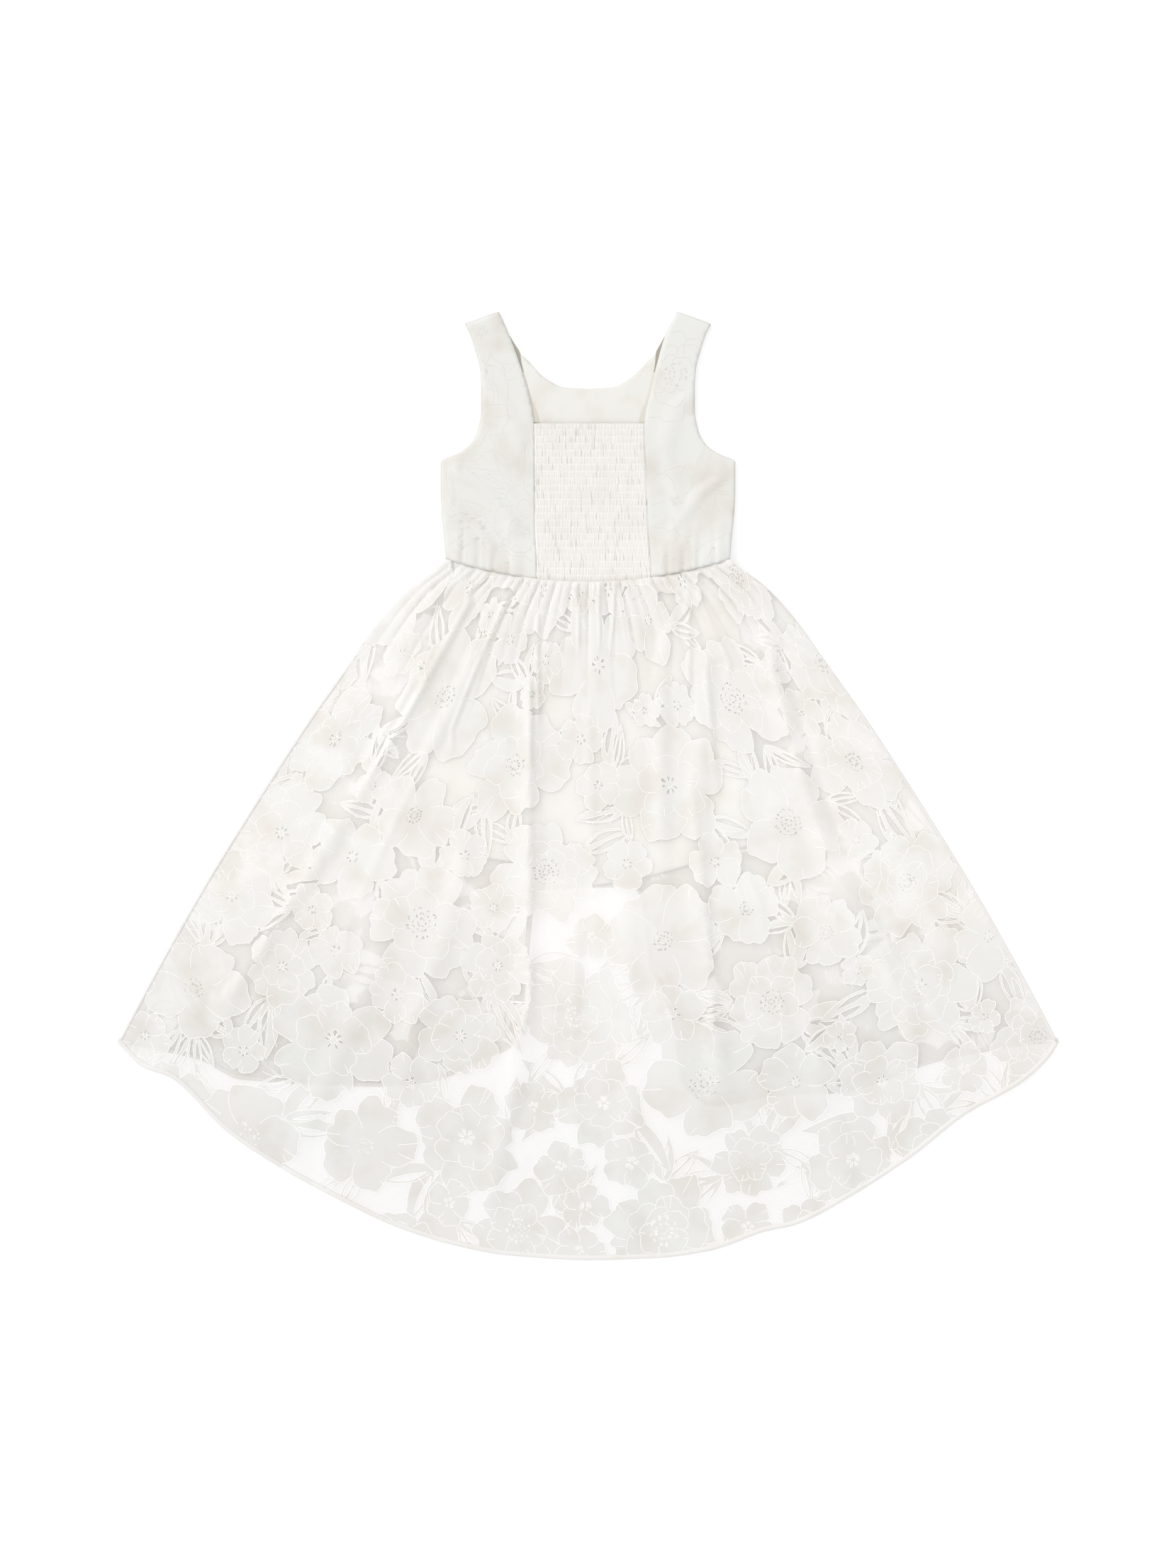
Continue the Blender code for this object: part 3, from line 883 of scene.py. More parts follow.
def leaves_of(flower, rng):
    """Sprays of leaves that start under a flower's rim."""
    leaves = []
    count = rng.choice((2, 3) if flower.radius > LARGE_FLOWER else (0, 1))
    start = rng.uniform(0, FULL_TURN)
    for i in range(count):
        angle = start + FULL_TURN * i / count + rng.uniform(-ROOT_SWAY, ROOT_SWAY)
        root = flower.point(angle, flower.radius * ROOT_SHARE)
        turn = angle + rng.uniform(-LEAF_SWAY, LEAF_SWAY)
        for lean in rng.choice(SPRAYS):
            length = rng.uniform(*LEAF_LENGTHS)
            width = length * rng.uniform(*LEAF_WIDTHS)
            slits = rng.choice(LEAF_SLITS)
            leaves.append(Leaf(*root, length, width, turn + lean, rng.uniform(*LEAF_BENDS), slits))
        if rng.random() < TENDRIL_CHANCE:
            leaves.append(Tendrils(*root, rng.uniform(*TENDRIL_LENGTHS), turn, rng.choice((3, 4))))
    return leaves


def figures(low, high, seed, sizes=FLOWER_SIZES):
    """A scatter of figures over a stretch of cloth, leaves under flowers and small ones on top."""
    rng = random.Random(seed)
    flowers = []
    for size in sizes:
        flowers += flowers_of(size, low, high, flowers, rng)
    return [leaf for flower in flowers for leaf in leaves_of(flower, rng)] + flowers


# Meshes

GRID_CLEAR = 0.0011
CDT_TOLERANCE = 1e-7


def new_piece(name, vertices, faces, materials, face_materials=None):
    mesh = bpy.data.meshes.new(name)
    mesh.from_pydata(vertices, [], faces)
    for material in materials:
        mesh.materials.append(material)
    if face_materials:
        mesh.polygons.foreach_set("material_index", face_materials)
    mesh.shade_smooth()
    mesh.update()
    piece = bpy.data.objects.new(name, mesh)
    bpy.context.scene.collection.objects.link(piece)
    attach(piece, "root")
    return piece


def grid_faces(rows, columns):
    """Faces of a mesh whose points come row by row, one more of them than columns."""
    wide = columns + 1
    starts = [j * wide + i for j in range(rows) for i in range(columns)]
    return [(a, a + wide, a + wide + 1, a + 1) for a in starts]


def spaced_out(points, kept, cell):
    """The points that don't crowd the kept ones."""
    def key(point):
        return int(point[0] // cell), int(point[1] // cell)

    taken = {key(point) for point in kept}

    def free(point):
        i, j = key(point)
        return not any((i + di, j + dj) in taken for di in (-1, 0, 1) for dj in (-1, 0, 1))

    return [point for point in points if free(point)]


def figured_cloth(name, outline, grid, shapes, laid, materials):
    """A sheet cut along its outline, with its figures' edges as mesh edges.

    materials are the ground's and the figures'. Of two figures that overlap, the later one is on
    top, and only its own open drops show.
    """
    loops = [("cut", 0, outline)]
    for index, shape in enumerate(shapes, start=1):
        if shape.outline():
            loops.append(("figure", index, shape.outline()))
            loops += [("drop", index, drop) for drop in shape.drops]
    edges = [point for _, _, loop in loops for point in loop]
    points = edges + spaced_out(grid, edges, GRID_CLEAR)
    ids, first = [], 0
    for _, _, loop in loops:
        numbers = list(range(first, first + len(loop)))
        ids.append(numbers if turned_area(loop) > 0 else numbers[::-1])
        first += len(loop)
    places, _, triangles, _, _, sources = delaunay_2d_cdt(
        [Vector(point) for point in points], [], ids, 0, CDT_TOLERANCE
    )
    faces, looks = [], []
    for triangle, inside in zip(triangles, sources):
        if 0 not in inside:
            continue
        kinds = [loops[i][:2] for i in inside]
        top = max((index for kind, index in kinds if kind == "figure"), default=0)
        faces.append(triangle)
        looks.append(int(top > 0 and ("drop", top) not in kinds))
    used = sorted({i for face in faces for i in face})
    place = {old: new for new, old in enumerate(used)}
    vertices = [laid(*places[i]) for i in used]
    faces = [[place[i] for i in face] for face in faces]
    return new_piece(name, vertices, faces, materials, looks)


def shown_runs(line, hidden):
    """The stretches of a line that nothing hides."""
    runs, run = [], []
    for point in line:
        if not hidden(point):
            run.append(point)
            continue
        runs.append(run)
        run = []
    return [run for run in runs + [run] if len(run) > 1]


def thinned(line, step):
    """Drops points that come closer than a step, but keeps both ends."""
    kept = [line[0]]
    for point in line[1:-1]:
        if math.dist(point, kept[-1]) >= step:
            kept.append(point)
    return kept + [line[-1]]


def strips(name, lines, profile, laid, material, closed_profile=False):
    """Strips along lines drawn on the flat cut, with a profile of (aside, lift) points.

    Aside is to the left of the line's direction on the cut, where down is the second axis.
    """
    vertices, faces = [], []
    width = len(profile)
    spans = width if closed_profile else width - 1
    for line in lines:
        first = len(vertices)
        route = [laid(*point) for point in line]
        for i, (x, y, z) in enumerate(route):
            before, after = route[max(i - 1, 0)], route[min(i + 1, len(route) - 1)]
            dx, dy = after[0] - before[0], after[1] - before[1]
            length = math.hypot(dx, dy) or 1.0
            nx, ny = dy / length, -dx / length
            vertices += [(x + nx * aside, y + ny * aside, z + lift) for aside, lift in profile]
        for i in range(len(line) - 1):
            for k in range(spans):
                a, b = first + i * width + k, first + i * width + (k + 1) % width
                faces.append((a, a + width, b + width, b))
        if closed_profile:
            last = first + (len(line) - 1) * width
            faces.append(tuple(range(first, first + width)))
            faces.append(tuple(range(last, last + width))[::-1])
    return new_piece(name, vertices, faces, [material])


THREAD_PROFILE = ((-0.00034, 0.00004), (0.0, 0.00024), (0.00034, 0.00004))
FAINT_PROFILE = ((-0.00030, 0.0), (0.0, 0.00012), (0.00030, 0.0))
UNDER_PROFILE = ((-0.00030, 0.0), (0.0, -0.00012), (0.00030, 0.0))
THREAD_STEP = 0.0022
TWO_FIGURES_MEET = 0.14


def figure_threads(name, shapes, holds, laid, material, profile=THREAD_PROFILE):
    """The raised threads of all the figures, left out under a later figure and off the cut."""
    lines = []
    for index, shape in enumerate(shapes):
        over = [
            other for other in shapes[index + 1:]
            if math.hypot(other.across - shape.across, other.down - shape.down) < TWO_FIGURES_MEET
        ]

        def hidden(point):
            return not holds(*point) or any(other.covers(*point) for other in over)

        for line in shape.threads():
            lines += [thinned(run, THREAD_STEP) for run in shown_runs(line, hidden)]
    return strips(name, lines, profile, laid, material)


def thickened(piece, thickness):
    solid = piece.modifiers.new("thickness", "SOLIDIFY")
    solid.thickness = thickness
    solid.offset = 0.0
    return piece


def size_of(outline):
    across = [point[0] for point in outline]
    down = [point[1] for point in outline]
    return max(across) - min(across), max(down) - min(down)


# Materials


def material_nodes(name):
    material = bpy.data.materials.new(name)
    material.use_nodes = True
    return material, material.node_tree.nodes, material.node_tree.links


WARM_SHADE = (0.872, 0.812, 0.756)
# Painted shade that darkens the cloth towards the end of the train, where it lies alone: its colour,
# and the span along the dress's length over which it sets in.
TRAIN_PAINTED_SHADE = (0.86, 0.867, 0.867)
TRAIN_PAINTED_SHADE_SPAN = (-0.10, -0.36)
WEAVE_SCALE = 1800.0
WEAVE_DEPTH = 0.0002
WEAVE_STRENGTH = 0.15


def clouds(nodes, links, place, scale, detail, span, most):
    """A cloudy amount, from zero where the noise is at the span's start to most at its end."""
    texture = nodes.new("ShaderNodeTexNoise")
    texture.inputs["Scale"].default_value = scale
    texture.inputs["Detail"].default_value = detail
    links.new(place, texture.inputs["Vector"])
    return ramp(nodes, links, texture.outputs["Fac"], span, most)


def ramp(nodes, links, value, span, most):
    amount = nodes.new("ShaderNodeMapRange")
    amount.inputs["From Min"].default_value = span[0]
    amount.inputs["From Max"].default_value = span[1]
    amount.inputs["To Max"].default_value = most
    links.new(value, amount.inputs["Value"])
    return amount.outputs["Result"]


def multiplied(nodes, links, amount, colours, shade):
    blend = nodes.new("ShaderNodeMix")
    blend.data_type = "RGBA"
    blend.blend_type = "MULTIPLY"
    blend.inputs["B"].default_value = (*shade, 1.0)
    links.new(colours, blend.inputs["A"])
    links.new(amount, blend.inputs["Factor"])
    return blend.outputs["Result"]


def cloth_material(name, colour, tint, roughness, alpha=1.0, stain=0.25, mottle=9.0, blotch=26.0,
                   painted_train_shade=0.0):
    """Cloth with soft mottling between two near colours, warm blotches and a fine weave.

    painted_train_shade is how far its colour is darkened towards the end of the train, where it lies
    alone: painted shade.
    """
    material, nodes, links = material_nodes(name)
    shader = nodes["Principled BSDF"]
    place = nodes.new("ShaderNodeTexCoord").outputs["Object"]
    blend = nodes.new("ShaderNodeMix")
    blend.data_type = "RGBA"
    blend.inputs["A"].default_value = (*colour, 1.0)
    blend.inputs["B"].default_value = (*tint, 1.0)
    links.new(clouds(nodes, links, place, mottle, 4.0, (0.35, 0.65), 1.0), blend.inputs["Factor"])
    colours = blend.outputs["Result"]
    blotches = clouds(nodes, links, place, blotch, 3.0, (0.47, 0.70), stain)
    colours = multiplied(nodes, links, blotches, colours, WARM_SHADE)
    axes = nodes.new("ShaderNodeSeparateXYZ")
    links.new(place, axes.inputs["Vector"])
    # Painted shade: the colour darkens towards the end of the train.
    painted_train_shade_amount = ramp(nodes, links, axes.outputs["Y"], TRAIN_PAINTED_SHADE_SPAN, painted_train_shade)
    colours = multiplied(nodes, links, painted_train_shade_amount, colours, TRAIN_PAINTED_SHADE)
    links.new(colours, shader.inputs["Base Color"])
    relief = nodes.new("ShaderNodeBump")
    relief.inputs["Strength"].default_value = WEAVE_STRENGTH
    relief.inputs["Distance"].default_value = WEAVE_DEPTH
    weave = clouds(nodes, links, place, WEAVE_SCALE, 1.0, (0.0, 1.0), 1.0)
    links.new(weave, relief.inputs["Height"])
    links.new(relief.outputs["Normal"], shader.inputs["Normal"])
    shader.inputs["Roughness"].default_value = roughness
    shader.inputs["Metallic"].default_value = 0.0
    shader.inputs["Sheen Weight"].default_value = 0.15
    shader.inputs["Specular IOR Level"].default_value = 0.2
    shader.inputs["Alpha"].default_value = alpha
    return material


GROUND = cloth_material("organza_ground", (0.95, 0.92, 0.89), (0.95, 0.935, 0.91), 0.5, 0.44,
                        painted_train_shade=1.0)
FIGURE = cloth_material("organza_figure", (0.895, 0.865, 0.835), (0.895, 0.888, 0.86), 0.6, 0.92, 0.5,
                        painted_train_shade=1.0)
THREAD = cloth_material("figure_thread", (0.99, 0.965, 0.94), (0.99, 0.975, 0.95), 0.5, stain=0.0)
HEM = cloth_material("rolled_hem", (0.91, 0.885, 0.855), (0.91, 0.895, 0.87), 0.5, 0.9)
LINING = cloth_material("lining_cloth", (0.965, 0.95, 0.915), (0.97, 0.96, 0.93), 0.7)
INNER_BODICE = cloth_material("inner_bodice", (0.82, 0.80, 0.755), (0.83, 0.82, 0.785), 0.7, 1.0, 0.5)
# The strap's facing: a real facing, coloured darker as painted shade of the back strap's shadow on the
# front lining.
FACING_PAINTED_SHADE = cloth_material("strap_facing_painted_shade", (0.70, 0.67, 0.59), (0.74, 0.71, 0.63), 0.8)
# Near-black cloth at the top of each strap's gap, where there is only shade: painted shade.
PAINTED_GAP_SHADE = cloth_material("painted_shade_in_the_gap", (0.38, 0.35, 0.30), (0.42, 0.39, 0.33), 0.8)
BODICE = cloth_material("bodice_cloth", (0.79, 0.79, 0.762), (0.80, 0.785, 0.747), 0.6, 1.0, 0.75,
                        7.0, 17.0)
BODICE_THREAD = cloth_material("bodice_thread", (0.755, 0.725, 0.685), (0.80, 0.785, 0.75), 0.6)
SMOCKING = cloth_material("smocked_cloth", (0.905, 0.88, 0.85), (0.905, 0.89, 0.86), 0.6, 1.0, 0.15)
ELASTIC = cloth_material("elastic_thread", (0.97, 0.955, 0.925), (0.97, 0.96, 0.935), 0.5)
STITCH = cloth_material("sewing_thread", (0.90, 0.89, 0.86), (0.91, 0.90, 0.88), 0.4)
WAIST_SEAM = cloth_material("waist_seam", (0.80, 0.74, 0.67), (0.88, 0.84, 0.78), 0.7)


# The skirt

SkirtLook = namedtuple("SkirtLook", "columns rows seed")


BAND_WIDTH = 0.016
BAND_WAVE = 0.010
BAND_RIPPLE = 0.0015


class GatheredBand:
    """Beside the waist seam the gathers lay the cloth on itself, so it is as close as a figure."""

    def __init__(self, half):
        self.across, self.down, self.half = 0.0, 0.0, half
        self.drops = []

    def outline(self):
        waves = []
        for place in spread(self.half, -self.half, 500):
            large = BAND_WAVE * math.sin(place * 61 + 1.0) * math.sin(place * 23)
            waves.append((place, BAND_WIDTH + large + BAND_RIPPLE * math.sin(place * 230)))
        return [(-self.half, 0.0), (self.half, 0.0)] + waves

    def covers(self, across, down):
        return False

    def threads(self):
        return []


def skirt(node, panel, look, sewn_on=()):
    outline = panel.outline()
    wide, long = size_of(outline)
    shapes = [GatheredBand(wide / 2)] + figures((-wide / 2, 0.0), (wide / 2, long), look.seed)
    grid = panel.grid(look.columns, look.rows)
    cloth = figured_cloth(node + "_cloth", outline, grid, shapes, panel.laid, [GROUND, FIGURE])
    sewn_on = [
        *sewn_on,
        figure_threads(node + "_threads", shapes, panel.holds, panel.laid, THREAD),
        rolled_hem(node + "_hem", panel),
        side_seams(node + "_side_seams", panel),
    ]
    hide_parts(node)
    abs(turned_area(outline))


HEM_WIDTH = 0.0050
HEM_PROFILE = (
    (0.0000, -0.0002), (HEM_WIDTH, -0.0001), (HEM_WIDTH, 0.0003), (0.0030, 0.00055),
    (0.0008, 0.00050), (0.0000, 0.0001),
)


def rolled_hem(name, panel):
    """A narrow hem, rolled twice and slightly raised, along a skirt's lower edge."""
    steps = 520
    line = [panel.hem_cut(1 - 2 * i / steps) for i in range(steps + 1)]
    return strips(name, [thinned(line, 0.0012)], HEM_PROFILE, panel.laid, HEM, True)


SEAM_CLEAR = 0.002
SEAM_PROFILE = (
    (0.0000, -0.0002), (0.0030, -0.0001), (0.0030, 0.0001), (0.0014, 0.0003), (0.0000, 0.0001),
)


def side_seams(name, panel):
    """The side seams' allowances, which show as a denser band along each side."""
    belows = spread(SEAM_CLEAR, reach(1.0, panel.hem) - SEAM_CLEAR, 110)
    right = [(cut_half_width(below), below) for below in belows]
    return strips(name, [right, mirrored(right)], SEAM_PROFILE, panel.laid, HEM, True)


# The lining of the skirt


def lining_skirt(node, level, inset, shorter):
    columns, rows = 160, 90

    def laid(share, part):
        seam = waist_down(share * (1 - inset / WAIST_HALF))
        below = mix(HALF_GAP, lining_hem(share) - seam - shorter, part)
        across = share * (lining_half_width(share, below) - inset)
        ripple = LINING_RIPPLE * (1 - math.cos(math.pi * LINING_RIPPLES * (share + 1)))
        tucks = TUCK_HEIGHT * math.sin(share * TUCKS) * fade(below, 0.05)
        return at(across, seam + below, level(below) + MID_WALL + ripple + tucks)

    vertices = [
        laid(2 * i / columns - 1, j / rows) for j in range(rows + 1) for i in range(columns + 1)
    ]
    faces = grid_faces(rows, columns)
    cloth = thickened(new_piece(node + "_cloth", vertices, faces, [LINING]), LINING_SHELL)
    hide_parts(node)
    hem_line = [(2 * i / STITCH_STEPS - 1, STITCH_LINE) for i in range(STITCH_STEPS + 1)]
    stitches = [hem_line[i:i + 2] for i in range(0, STITCH_STEPS - 1, 3)]
    profile = ((-0.0008, 0.00032), (0.0, 0.00055), (0.0008, 0.00032))
    sewing = strips(node + "_stitches", stitches, profile, laid, STITCH)


# The bodice


def shoulder_down(across):
    """The shoulder seam slopes from the neckline to the armhole."""
    part = (abs(across) - SHOULDER_INNER) / (SHOULDER_OUTER - SHOULDER_INNER)
    return mix(0.0, BODICE_TOP_DOWN, part)


def in_bodice(across, down, margin):
    beyond = abs(across) > bodice_side(down) - margin
    return not beyond and down > shoulder_down(across) + margin and above_waist(across, down) > margin


# How far a panel's edge lies over the next one at their seam
TUCK = 0.0004
SIDE_STEPS = 120


def panel_outline(side, inner_edge):
    """A back panel's outline: over the shoulder, down the armhole and side, waist, inner edge."""
    inner, outer = inner_edge(0.0), side * bodice_side(BODICE_TOP_DOWN)
    shoulder = [(mix(inner, outer, i / 16), BODICE_TOP_DOWN * i / 16) for i in range(17)]
    downs = spread(BODICE_TOP_DOWN, WAIST_SIDE_DOWN, SIDE_STEPS)[1:-1]
    armhole = [(side * bodice_side(down), down) for down in downs]
    seam = spread(side * WAIST_HALF, inner_edge(INNER_EDGE_END), 50)
    waist = [(across, waist_down(across / WAIST_HALF) + TUCK) for across in seam]
    last = waist[-1][1]
    inner = [(inner_edge(last * (1 - j / 110)), last * (1 - j / 110)) for j in range(1, 110)]
    return shoulder + armhole + waist + inner


def front_outline(inset):
    """The front bodice's outline, from the left strap round the neckline and down."""
    acrosses = [SHOULDER_INNER * (i / 45 - 1) for i in range(91)]
    neck = [(across, neckline(abs(across)) + inset) for across in acrosses]
    downs = spread(BODICE_TOP_DOWN, WAIST_SIDE_DOWN, SIDE_STEPS)
    right = [(bodice_side(down) - inset, down + inset * (down < 0.02)) for down in downs]
    seam = [(1 - i / 40) * (WAIST_HALF - inset) for i in range(1, 80)]
    waist = [(across, waist_down(across / WAIST_HALF) - HALF_GAP) for across in seam]
    return neck + right + waist + mirrored(right)


def even_grid(outline, pitch, holds):
    wide = max(abs(point[0]) for point in outline)
    long = max(point[1] for point in outline)
    points = [
        (i * pitch, j * pitch)
        for i in range(-int(wide / pitch), int(wide / pitch) + 1)
        for j in range(int(long / pitch) + 1)
    ]
    return [point for point in points if holds(*point)]


BODICE_GATHERS = 36
BODICE_GATHER_HEIGHT = 0.0026
BODICE_GATHER_SHORTER = 3.2
GATHERED_FROM = 0.078
GATHERED_TO = 0.134
BODICE_FOLDS = (
    Fold(-0.138, 0.165, -0.105, 0.185, -0.078, 0.215, 0.0024, 0.012),
    Fold(-0.145, 0.200, -0.120, 0.218, -0.100, 0.240, 0.0022, 0.009),
    Fold(-0.118, 0.060, -0.090, 0.090, -0.070, 0.130, 0.0018, 0.014),
    Fold(0.138, 0.170, 0.112, 0.190, 0.088, 0.225, 0.0017, 0.015),
    Fold(0.080, 0.150, 0.092, 0.190, 0.098, 0.235, 0.0014, 0.013),
    Fold(0.118, 0.075, 0.092, 0.100, 0.078, 0.140, 0.0014, 0.017),
)
FOLD_LINES.update({crease: fold_line(crease) for crease in BODICE_FOLDS})


def back_bodice_laid(across, down):
    """The padded back bodice, with gathers above the waist away from the middle."""
    above = above_waist(across, down)
    beside = fade(GATHERED_FROM - abs(across), 0.014) * fade(abs(across) - GATHERED_TO, 0.010)
    below = above * BODICE_GATHER_SHORTER
    gathers = gather(across / WAIST_HALF, below, BODICE_GATHER_HEIGHT, BODICE_GATHERS) * beside
    folds = max(fold(crease, across, down, CREASE_END) for crease in BODICE_FOLDS)
    swell = 0.0005 + soft(across, down, 0.04, 0.0010, 8.4) * fade(0.02 - above, 0.02)
    level = back_bodice_level(across, down) + MID_WALL - edge_roll(across, down)
    return at(across, down, level + max(gathers, folds * fade(abs(across) - 0.13, 0.02)) + swell)


EDGE_ROLL = 0.0008
EDGE_ROLL_WIDTH = 0.0030


def edge_roll(across, down):
    """How far the turned edges roll down at the armhole, the strap and the shoulder."""
    inner = left_inner_edge if across < 0 else right_inner_edge
    beside = bodice_side(down) - abs(across)
    if down < FRILL_TOP_DOWN:
        beside = min(beside, abs(across) - abs(inner(down)))
    return EDGE_ROLL * fade(min(beside, down - shoulder_down(across)), EDGE_ROLL_WIDTH)


def front_bodice_laid(across, down):
    return at(across, down, MID_WALL)


def front_lining_laid(across, down):
    swell = soft(across, down, 0.035, 0.0007, 1.7)
    return at(across, down, front_lining_bodice_level(across, down) + MID_WALL + swell)


SHELL = 0.0008
SHELL_TOP = 0.00044
BODICE_THREAD_CLEAR = 0.004
BODICE_GRID = 0.0024
BODICE_GRID_CLEAR = 0.0015


def bodice_sheet(node, slot, outline, laid, holds, shapes, sewn_on=(), outside=1):
    """A bodice panel as a thin shell, with faint flowers on its outside where shapes has any."""
    def inside(across, down):
        return holds(across, down, BODICE_THREAD_CLEAR)

    def in_grid(across, down):
        return holds(across, down, BODICE_GRID_CLEAR)

    material = BODICE if slot == "bodice" else INNER_BODICE
    grid = even_grid(outline, BODICE_GRID, in_grid)
    cloth = figured_cloth(node + "_cloth", outline, grid, (), laid, [material])
    thickened(cloth, SHELL)
    sewn_on = list(sewn_on)
    if shapes:
        profile = FAINT_PROFILE if outside > 0 else UNDER_PROFILE
        surface = lifted(laid, outside * SHELL_TOP)
        sewn_on.append(
            figure_threads(node + "_threads", shapes, inside, surface, BODICE_THREAD, profile)
        )
    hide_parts(node)
    abs(turned_area(outline))


def lifted(laid, lift):
    """The same surface, raised or lowered to one side of its shell."""
    def raised(across, down):
        x, y, z = laid(across, down)
        return x, y, z + lift

    return raised


def back_bodice_panel(word, side, inner_edge):
    outline = panel_outline(side, inner_edge)

    def holds(across, down, margin):
        return in_bodice(across, down, margin) and side * (across - inner_edge(down)) > margin

    ends = sorted((side * 0.05, side * 0.155))
    shapes = figures((ends[0], 0.0), (ends[1], 0.28), 40 + side, FLOWER_SIZES[:2])
    sewn_on = [shoulder_seam(word, side, inner_edge), strap_facing_painted_shade(word, side, inner_edge)]
    bodice_sheet("back_bodice_" + word, "bodice", outline, back_bodice_laid, holds, shapes,
                 sewn_on)


def shoulder_seam(word, side, inner_edge):
    """The seam that joins the back strap to the front one along the shoulder."""
    inner, outer = inner_edge(0.0), side * bodice_side(BODICE_TOP_DOWN)
    line = [(mix(inner, outer, share), mix(0.0, BODICE_TOP_DOWN, share))
            for share in spread(0.02, 0.98, 24)]
    profile = ((-0.0007, 0.0001), (-0.0002, 0.00045), (0.0006, 0.00045), (0.0007, 0.0001))
    line = line if side > 0 else line[::-1]
    return strips("shoulder_seam_" + word, [line], profile, back_bodice_laid, BODICE_THREAD)


def front_bodice():
    def holds(across, down, margin):
        over_neck = down < neckline(min(abs(across), SHOULDER_INNER)) + margin
        return in_bodice(across, down, margin) and not over_neck

    bodice_sheet("front_bodice", "bodice", front_outline(0.0), front_bodice_laid, holds,
                 figures((-0.155, 0.0), (0.155, 0.28), 57, FLOWER_SIZES[:2]), outside=-1)
    bodice_sheet("front_bodice_lining", "lining", front_outline(0.0002), front_lining_laid, holds,
                 ())


# Width of the facing, coloured as painted shade, that shows beside each strap's inner edge: down, width
facing_painted_shade_width = Curve((
    (0.0240, 0.0001),
    (0.0330, 0.0021),
    (0.0415, 0.0041),
    (0.0480, 0.0030),
    (0.0560, 0.0017),
    (0.0660, 0.0011),
    (0.0820, 0.0011),
    (0.0950, 0.0025),
    (0.1060, 0.0048),
    (0.1140, 0.0060),
))
PAINTED_GAP_SHADE_END = 0.062
FACING_PAINTED_SHADE_FROM = 0.024
FACING_PAINTED_SHADE_TO = 0.114
FACING_PAINTED_SHADE_STEPS = (-0.4, 0.0, 0.5, 1.0)
UNDER_STRAP = 0.0012
ABOVE_LINING = 0.0006
BELOW_STRAP = 0.0004


def strap_facing_painted_shade(word, side, inner_edge):
    """The facing inside a back strap, which shows in the gap down to the front's lining; its darker
    colour is painted shade of the strap's shadow, near-black painted shade at the top of the gap.
    """
    lines = spread(FACING_PAINTED_SHADE_FROM, FACING_PAINTED_SHADE_TO, 90)
    vertices = []
    for down in lines:
        width = facing_painted_shade_width(down)
        edge = inner_edge(down)
        for share in FACING_PAINTED_SHADE_STEPS:
            across = edge - side * width * max(share, 0.0) + side * UNDER_STRAP * (share < 0)
            low = front_lining_laid(across, down)[2] + ABOVE_LINING
            high = back_bodice_laid(edge, down)[2] - BELOW_STRAP
            vertices.append(at(across, down, mix(high, low, max(share, 0.0))))
    points = len(FACING_PAINTED_SHADE_STEPS)
    faces = grid_faces(len(lines) - 1, points - 1)
    if side < 0:
        faces = [face[:1] + face[:0:-1] for face in faces]
    # The top stretch, where the gap between the straps is deepest, gets the near-black painted shade;
    # the rest gets the facing's lighter painted shade.
    looks = [int(lines[face[0] // points] >= PAINTED_GAP_SHADE_END) for face in faces]
    return new_piece("strap_facing_painted_shade_" + word, vertices, faces, [PAINTED_GAP_SHADE, FACING_PAINTED_SHADE], looks)


# The smocked panel

RIB_STEPS = 6
ROW_STEPS = 5
RIB_DEPTHS = (0.8, 0.9, 0.9, 1.0, 1.0, 1.0, 1.1, 1.1, 1.2, 1.3, 1.4, 2.4)
RIB_LEAN = 0.25
PANEL_RISE = 0.0024
PUFF_HEIGHT = 0.00030
VALLEY_DEPTHS = (0.00055, 0.00095)
SIDE_ROLL = 0.0013
SIDE_ROLL_RIBS = 1.6
END_ROLL = 0.0010
RIB_WAVE = [math.sin(math.pi * k / RIB_STEPS) ** 0.6 for k in range(RIB_STEPS)]


class Smocking:
    """Shirred cloth: fine ribs that lean their own way in each row between lines of elastic."""

    def __init__(self, seed):
        rng = random.Random(seed)
        rows = range(ELASTIC_ROWS + 1)
        self.lean = [[rng.uniform(-RIB_LEAN, RIB_LEAN) for _ in range(RIBS + 1)] for _ in rows]
        self.depth = [[rng.choice(RIB_DEPTHS) for _ in range(RIBS + 1)] for _ in rows]
        self.end = waist_down(0.0) + TUCK

    def row(self, down):
        """The row between two elastics that a place is in, and how far down it."""
        turn = max((down - FIRST_ELASTIC_DOWN) / ELASTIC_PITCH, -1.0)
        if turn < 0:
            return 0, (turn + 1) * 0.5
        index = min(int(turn + 1e-6), ELASTIC_ROWS - 1)
        return index + 1, min(max(turn - index, 0.0), 1.0)

    def laid(self, rib_turn, down, lift=0.0):
        left = left_inner_edge(down) - TUCK
        right = right_inner_edge(down) + TUCK
        rib = min(int(rib_turn), RIBS - 1)
        row, part = self.row(down)
        between = math.sin(math.pi * part) ** 0.7
        wave = RIB_WAVE[round((rib_turn - rib) * RIB_STEPS) % RIB_STEPS]
        valley = (1 - wave) * self.depth[row][rib if rib_turn - rib < 0.5 else rib + 1]
        body = PANEL_RISE + PUFF_HEIGHT * between - valley * mix(*VALLEY_DEPTHS, between)
        across = mix(left, right, rib_turn / RIBS)
        across += self.lean[row][rib] * between * wave * (right - left) / RIBS
        body -= SIDE_ROLL * fade(min(rib_turn, RIBS - rib_turn), SIDE_ROLL_RIBS)
        body -= END_ROLL * fade(self.end - down, 0.004)
        body += soft(across, down, 0.03, 0.0005, 5.0)
        curve = waist_down(across / WAIST_HALF) - waist_down(0.0)
        real_down = down + curve * fade(self.end - down, 0.02)
        return at(across, real_down, back_bodice_level(0.0, down) + body + lift)


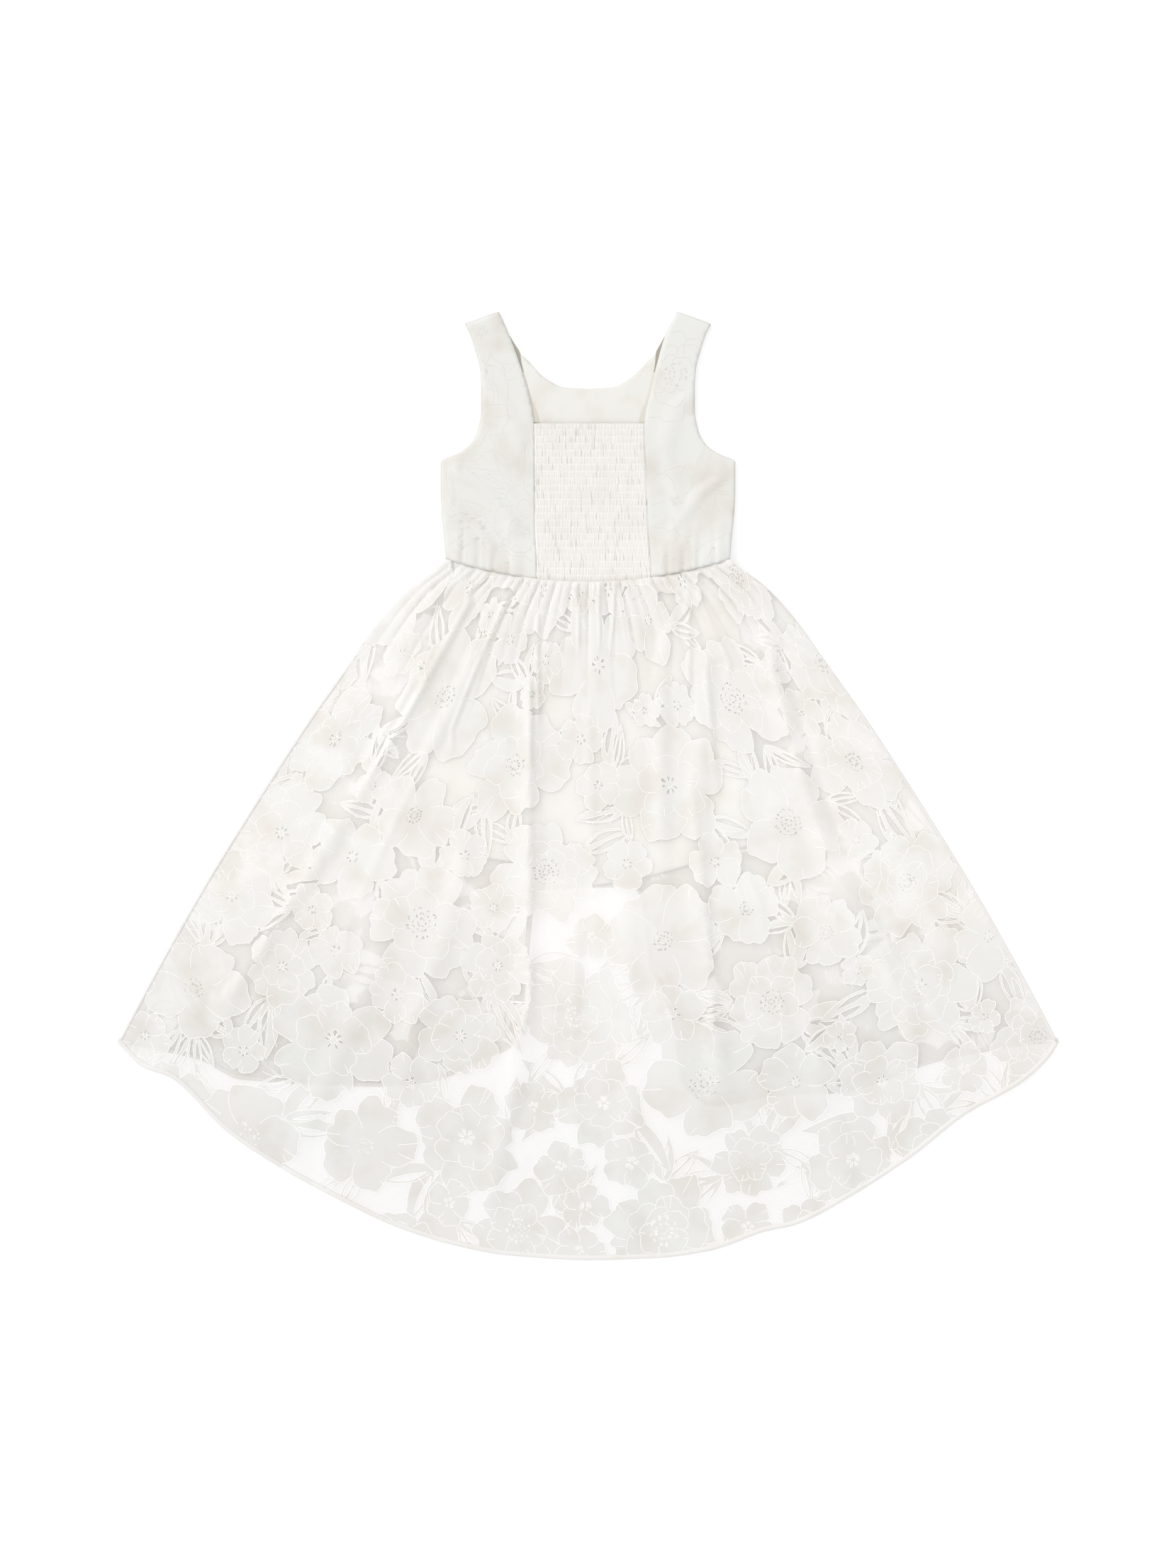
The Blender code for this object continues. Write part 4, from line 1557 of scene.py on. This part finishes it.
def smocked_panel():
    smocking = Smocking(11)
    columns = RIBS * RIB_STEPS
    steps = (ELASTIC_ROWS - 1) * ROW_STEPS
    downs = spread(FRILL_TOP_DOWN, FIRST_ELASTIC_DOWN, 5)[:-1]
    downs += [FIRST_ELASTIC_DOWN + ELASTIC_PITCH * j / ROW_STEPS for j in range(steps + 1)]
    downs += spread(downs[-1], smocking.end, 4)[1:]
    vertices = [smocking.laid(i / RIB_STEPS, down) for down in downs for i in range(columns + 1)]
    faces = grid_faces(len(downs) - 1, columns)
    cloth = new_piece("smocked_panel_cloth", vertices, faces, [SMOCKING])
    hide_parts("smocked_back_panel")
    lines = [
        [(i / 2, FIRST_ELASTIC_DOWN + ELASTIC_PITCH * row) for i in range(2 * RIBS + 1)]
        for row in range(ELASTIC_ROWS)
    ]
    profile = ((-0.00035, 0.0001), (0.0, 0.00028), (0.00035, 0.0001))
    elastics = strips("elastic_rows", lines, profile, smocking.laid, ELASTIC)


# The waist seam

WAIST_STEPS = 720


def waist_seam():
    """A fine line where the skirt's gathers meet the bodice, with small scallops."""
    line = []
    for i in range(WAIST_STEPS + 1):
        share = 2 * i / WAIST_STEPS - 1
        scallop = 0.0005 * abs(math.sin(share * 150)) + 0.0003 * math.sin(share * 47)
        line.append((share * WAIST_HALF * 0.996, waist_down(share) + scallop))
    height = back_skirt_level(0.0, 0.0) + 1.4 * CLOTH

    def laid(across, down):
        return at(across, down, height)

    profile = ((-0.0003, -0.0004), (-0.0002, 0.0002), (0.0002, 0.0002), (0.0003, -0.0004))
    return strips("waist_seam", [line], profile, laid, WAIST_SEAM, True)


# Stage, light and camera

FLOOR_HEIGHT = -0.0005
FLOOR_GREY = 0.46
FLOOR_GLOW = 0.57


def stage():
    """A white floor that glows a little, so that the sheer cloth stays light over it."""
    size = 5.0
    corners = [(x * size, y * size, FLOOR_HEIGHT) for x, y in ((-1, -1), (1, -1), (1, 1), (-1, 1))]
    mesh = bpy.data.meshes.new("floor")
    mesh.from_pydata(corners, [], [(0, 1, 2, 3)])
    floor = bpy.data.objects.new("floor", mesh)
    bpy.context.scene.collection.objects.link(floor)
    material, nodes, _ = material_nodes("pale_floor")
    shader = nodes["Principled BSDF"]
    shader.inputs["Base Color"].default_value = (FLOOR_GREY, FLOOR_GREY, FLOOR_GREY, 1.0)
    shader.inputs["Roughness"].default_value = 0.9
    shader.inputs["Emission Color"].default_value = (1.0, 1.0, 1.0, 1.0)
    shader.inputs["Emission Strength"].default_value = FLOOR_GLOW
    mesh.materials.append(material)


WORLD_STRENGTH = 0.83
KEY_STRENGTH = 1.20
KEY_ANGLE = 60.0


def lights():
    world = bpy.data.worlds.new("studio")
    bpy.context.scene.world = world
    world.use_nodes = True
    world.node_tree.nodes["Background"].inputs["Color"].default_value = (1.0, 1.0, 1.0, 1.0)
    world.node_tree.nodes["Background"].inputs["Strength"].default_value = WORLD_STRENGTH
    key = bpy.data.lights.new("key", "SUN")
    key.energy = KEY_STRENGTH
    key.angle = math.radians(KEY_ANGLE)
    lamp = bpy.data.objects.new("key", key)
    lamp.rotation_euler = (math.radians(-28), math.radians(-42), 0.0)
    bpy.context.scene.collection.objects.link(lamp)


def camera():
    data = bpy.data.cameras.new("camera")
    data.lens = LENS_MM
    data.sensor_width = SENSOR_MM
    long_side = PHOTO_HEIGHT * METRES_PER_PIXEL
    distance = long_side * LENS_MM / SENSOR_MM
    eye = bpy.data.objects.new("camera", data)
    middle = SHOULDER_Y - (PHOTO_HEIGHT / 2 - SHOULDER_PIXEL_Y) * METRES_PER_PIXEL
    eye.location = (0.0, middle, distance)
    data.clip_end = 50.0
    bpy.context.scene.collection.objects.link(eye)
    bpy.context.scene.camera = eye


bpy.context.scene.view_settings.view_transform = "Standard"
camera()
lights()
stage()
skirt("front_skirt", SkirtPanel(front_hem, front_skirt_height), SkirtLook(216, 90, 21))
lining_skirt("front_skirt_lining", front_lining_level, LINING_INSET, FRONT_LINING_SHORTER)
lining_skirt("back_skirt_lining", back_lining_level, 0.0, 0.0)
skirt("back_skirt", SkirtPanel(back_hem, back_skirt_height), SkirtLook(360, 120, 5),
      [waist_seam()])
front_bodice()
back_bodice_panel("left", -1, left_inner_edge)
back_bodice_panel("right", 1, right_inner_edge)
smocked_panel()
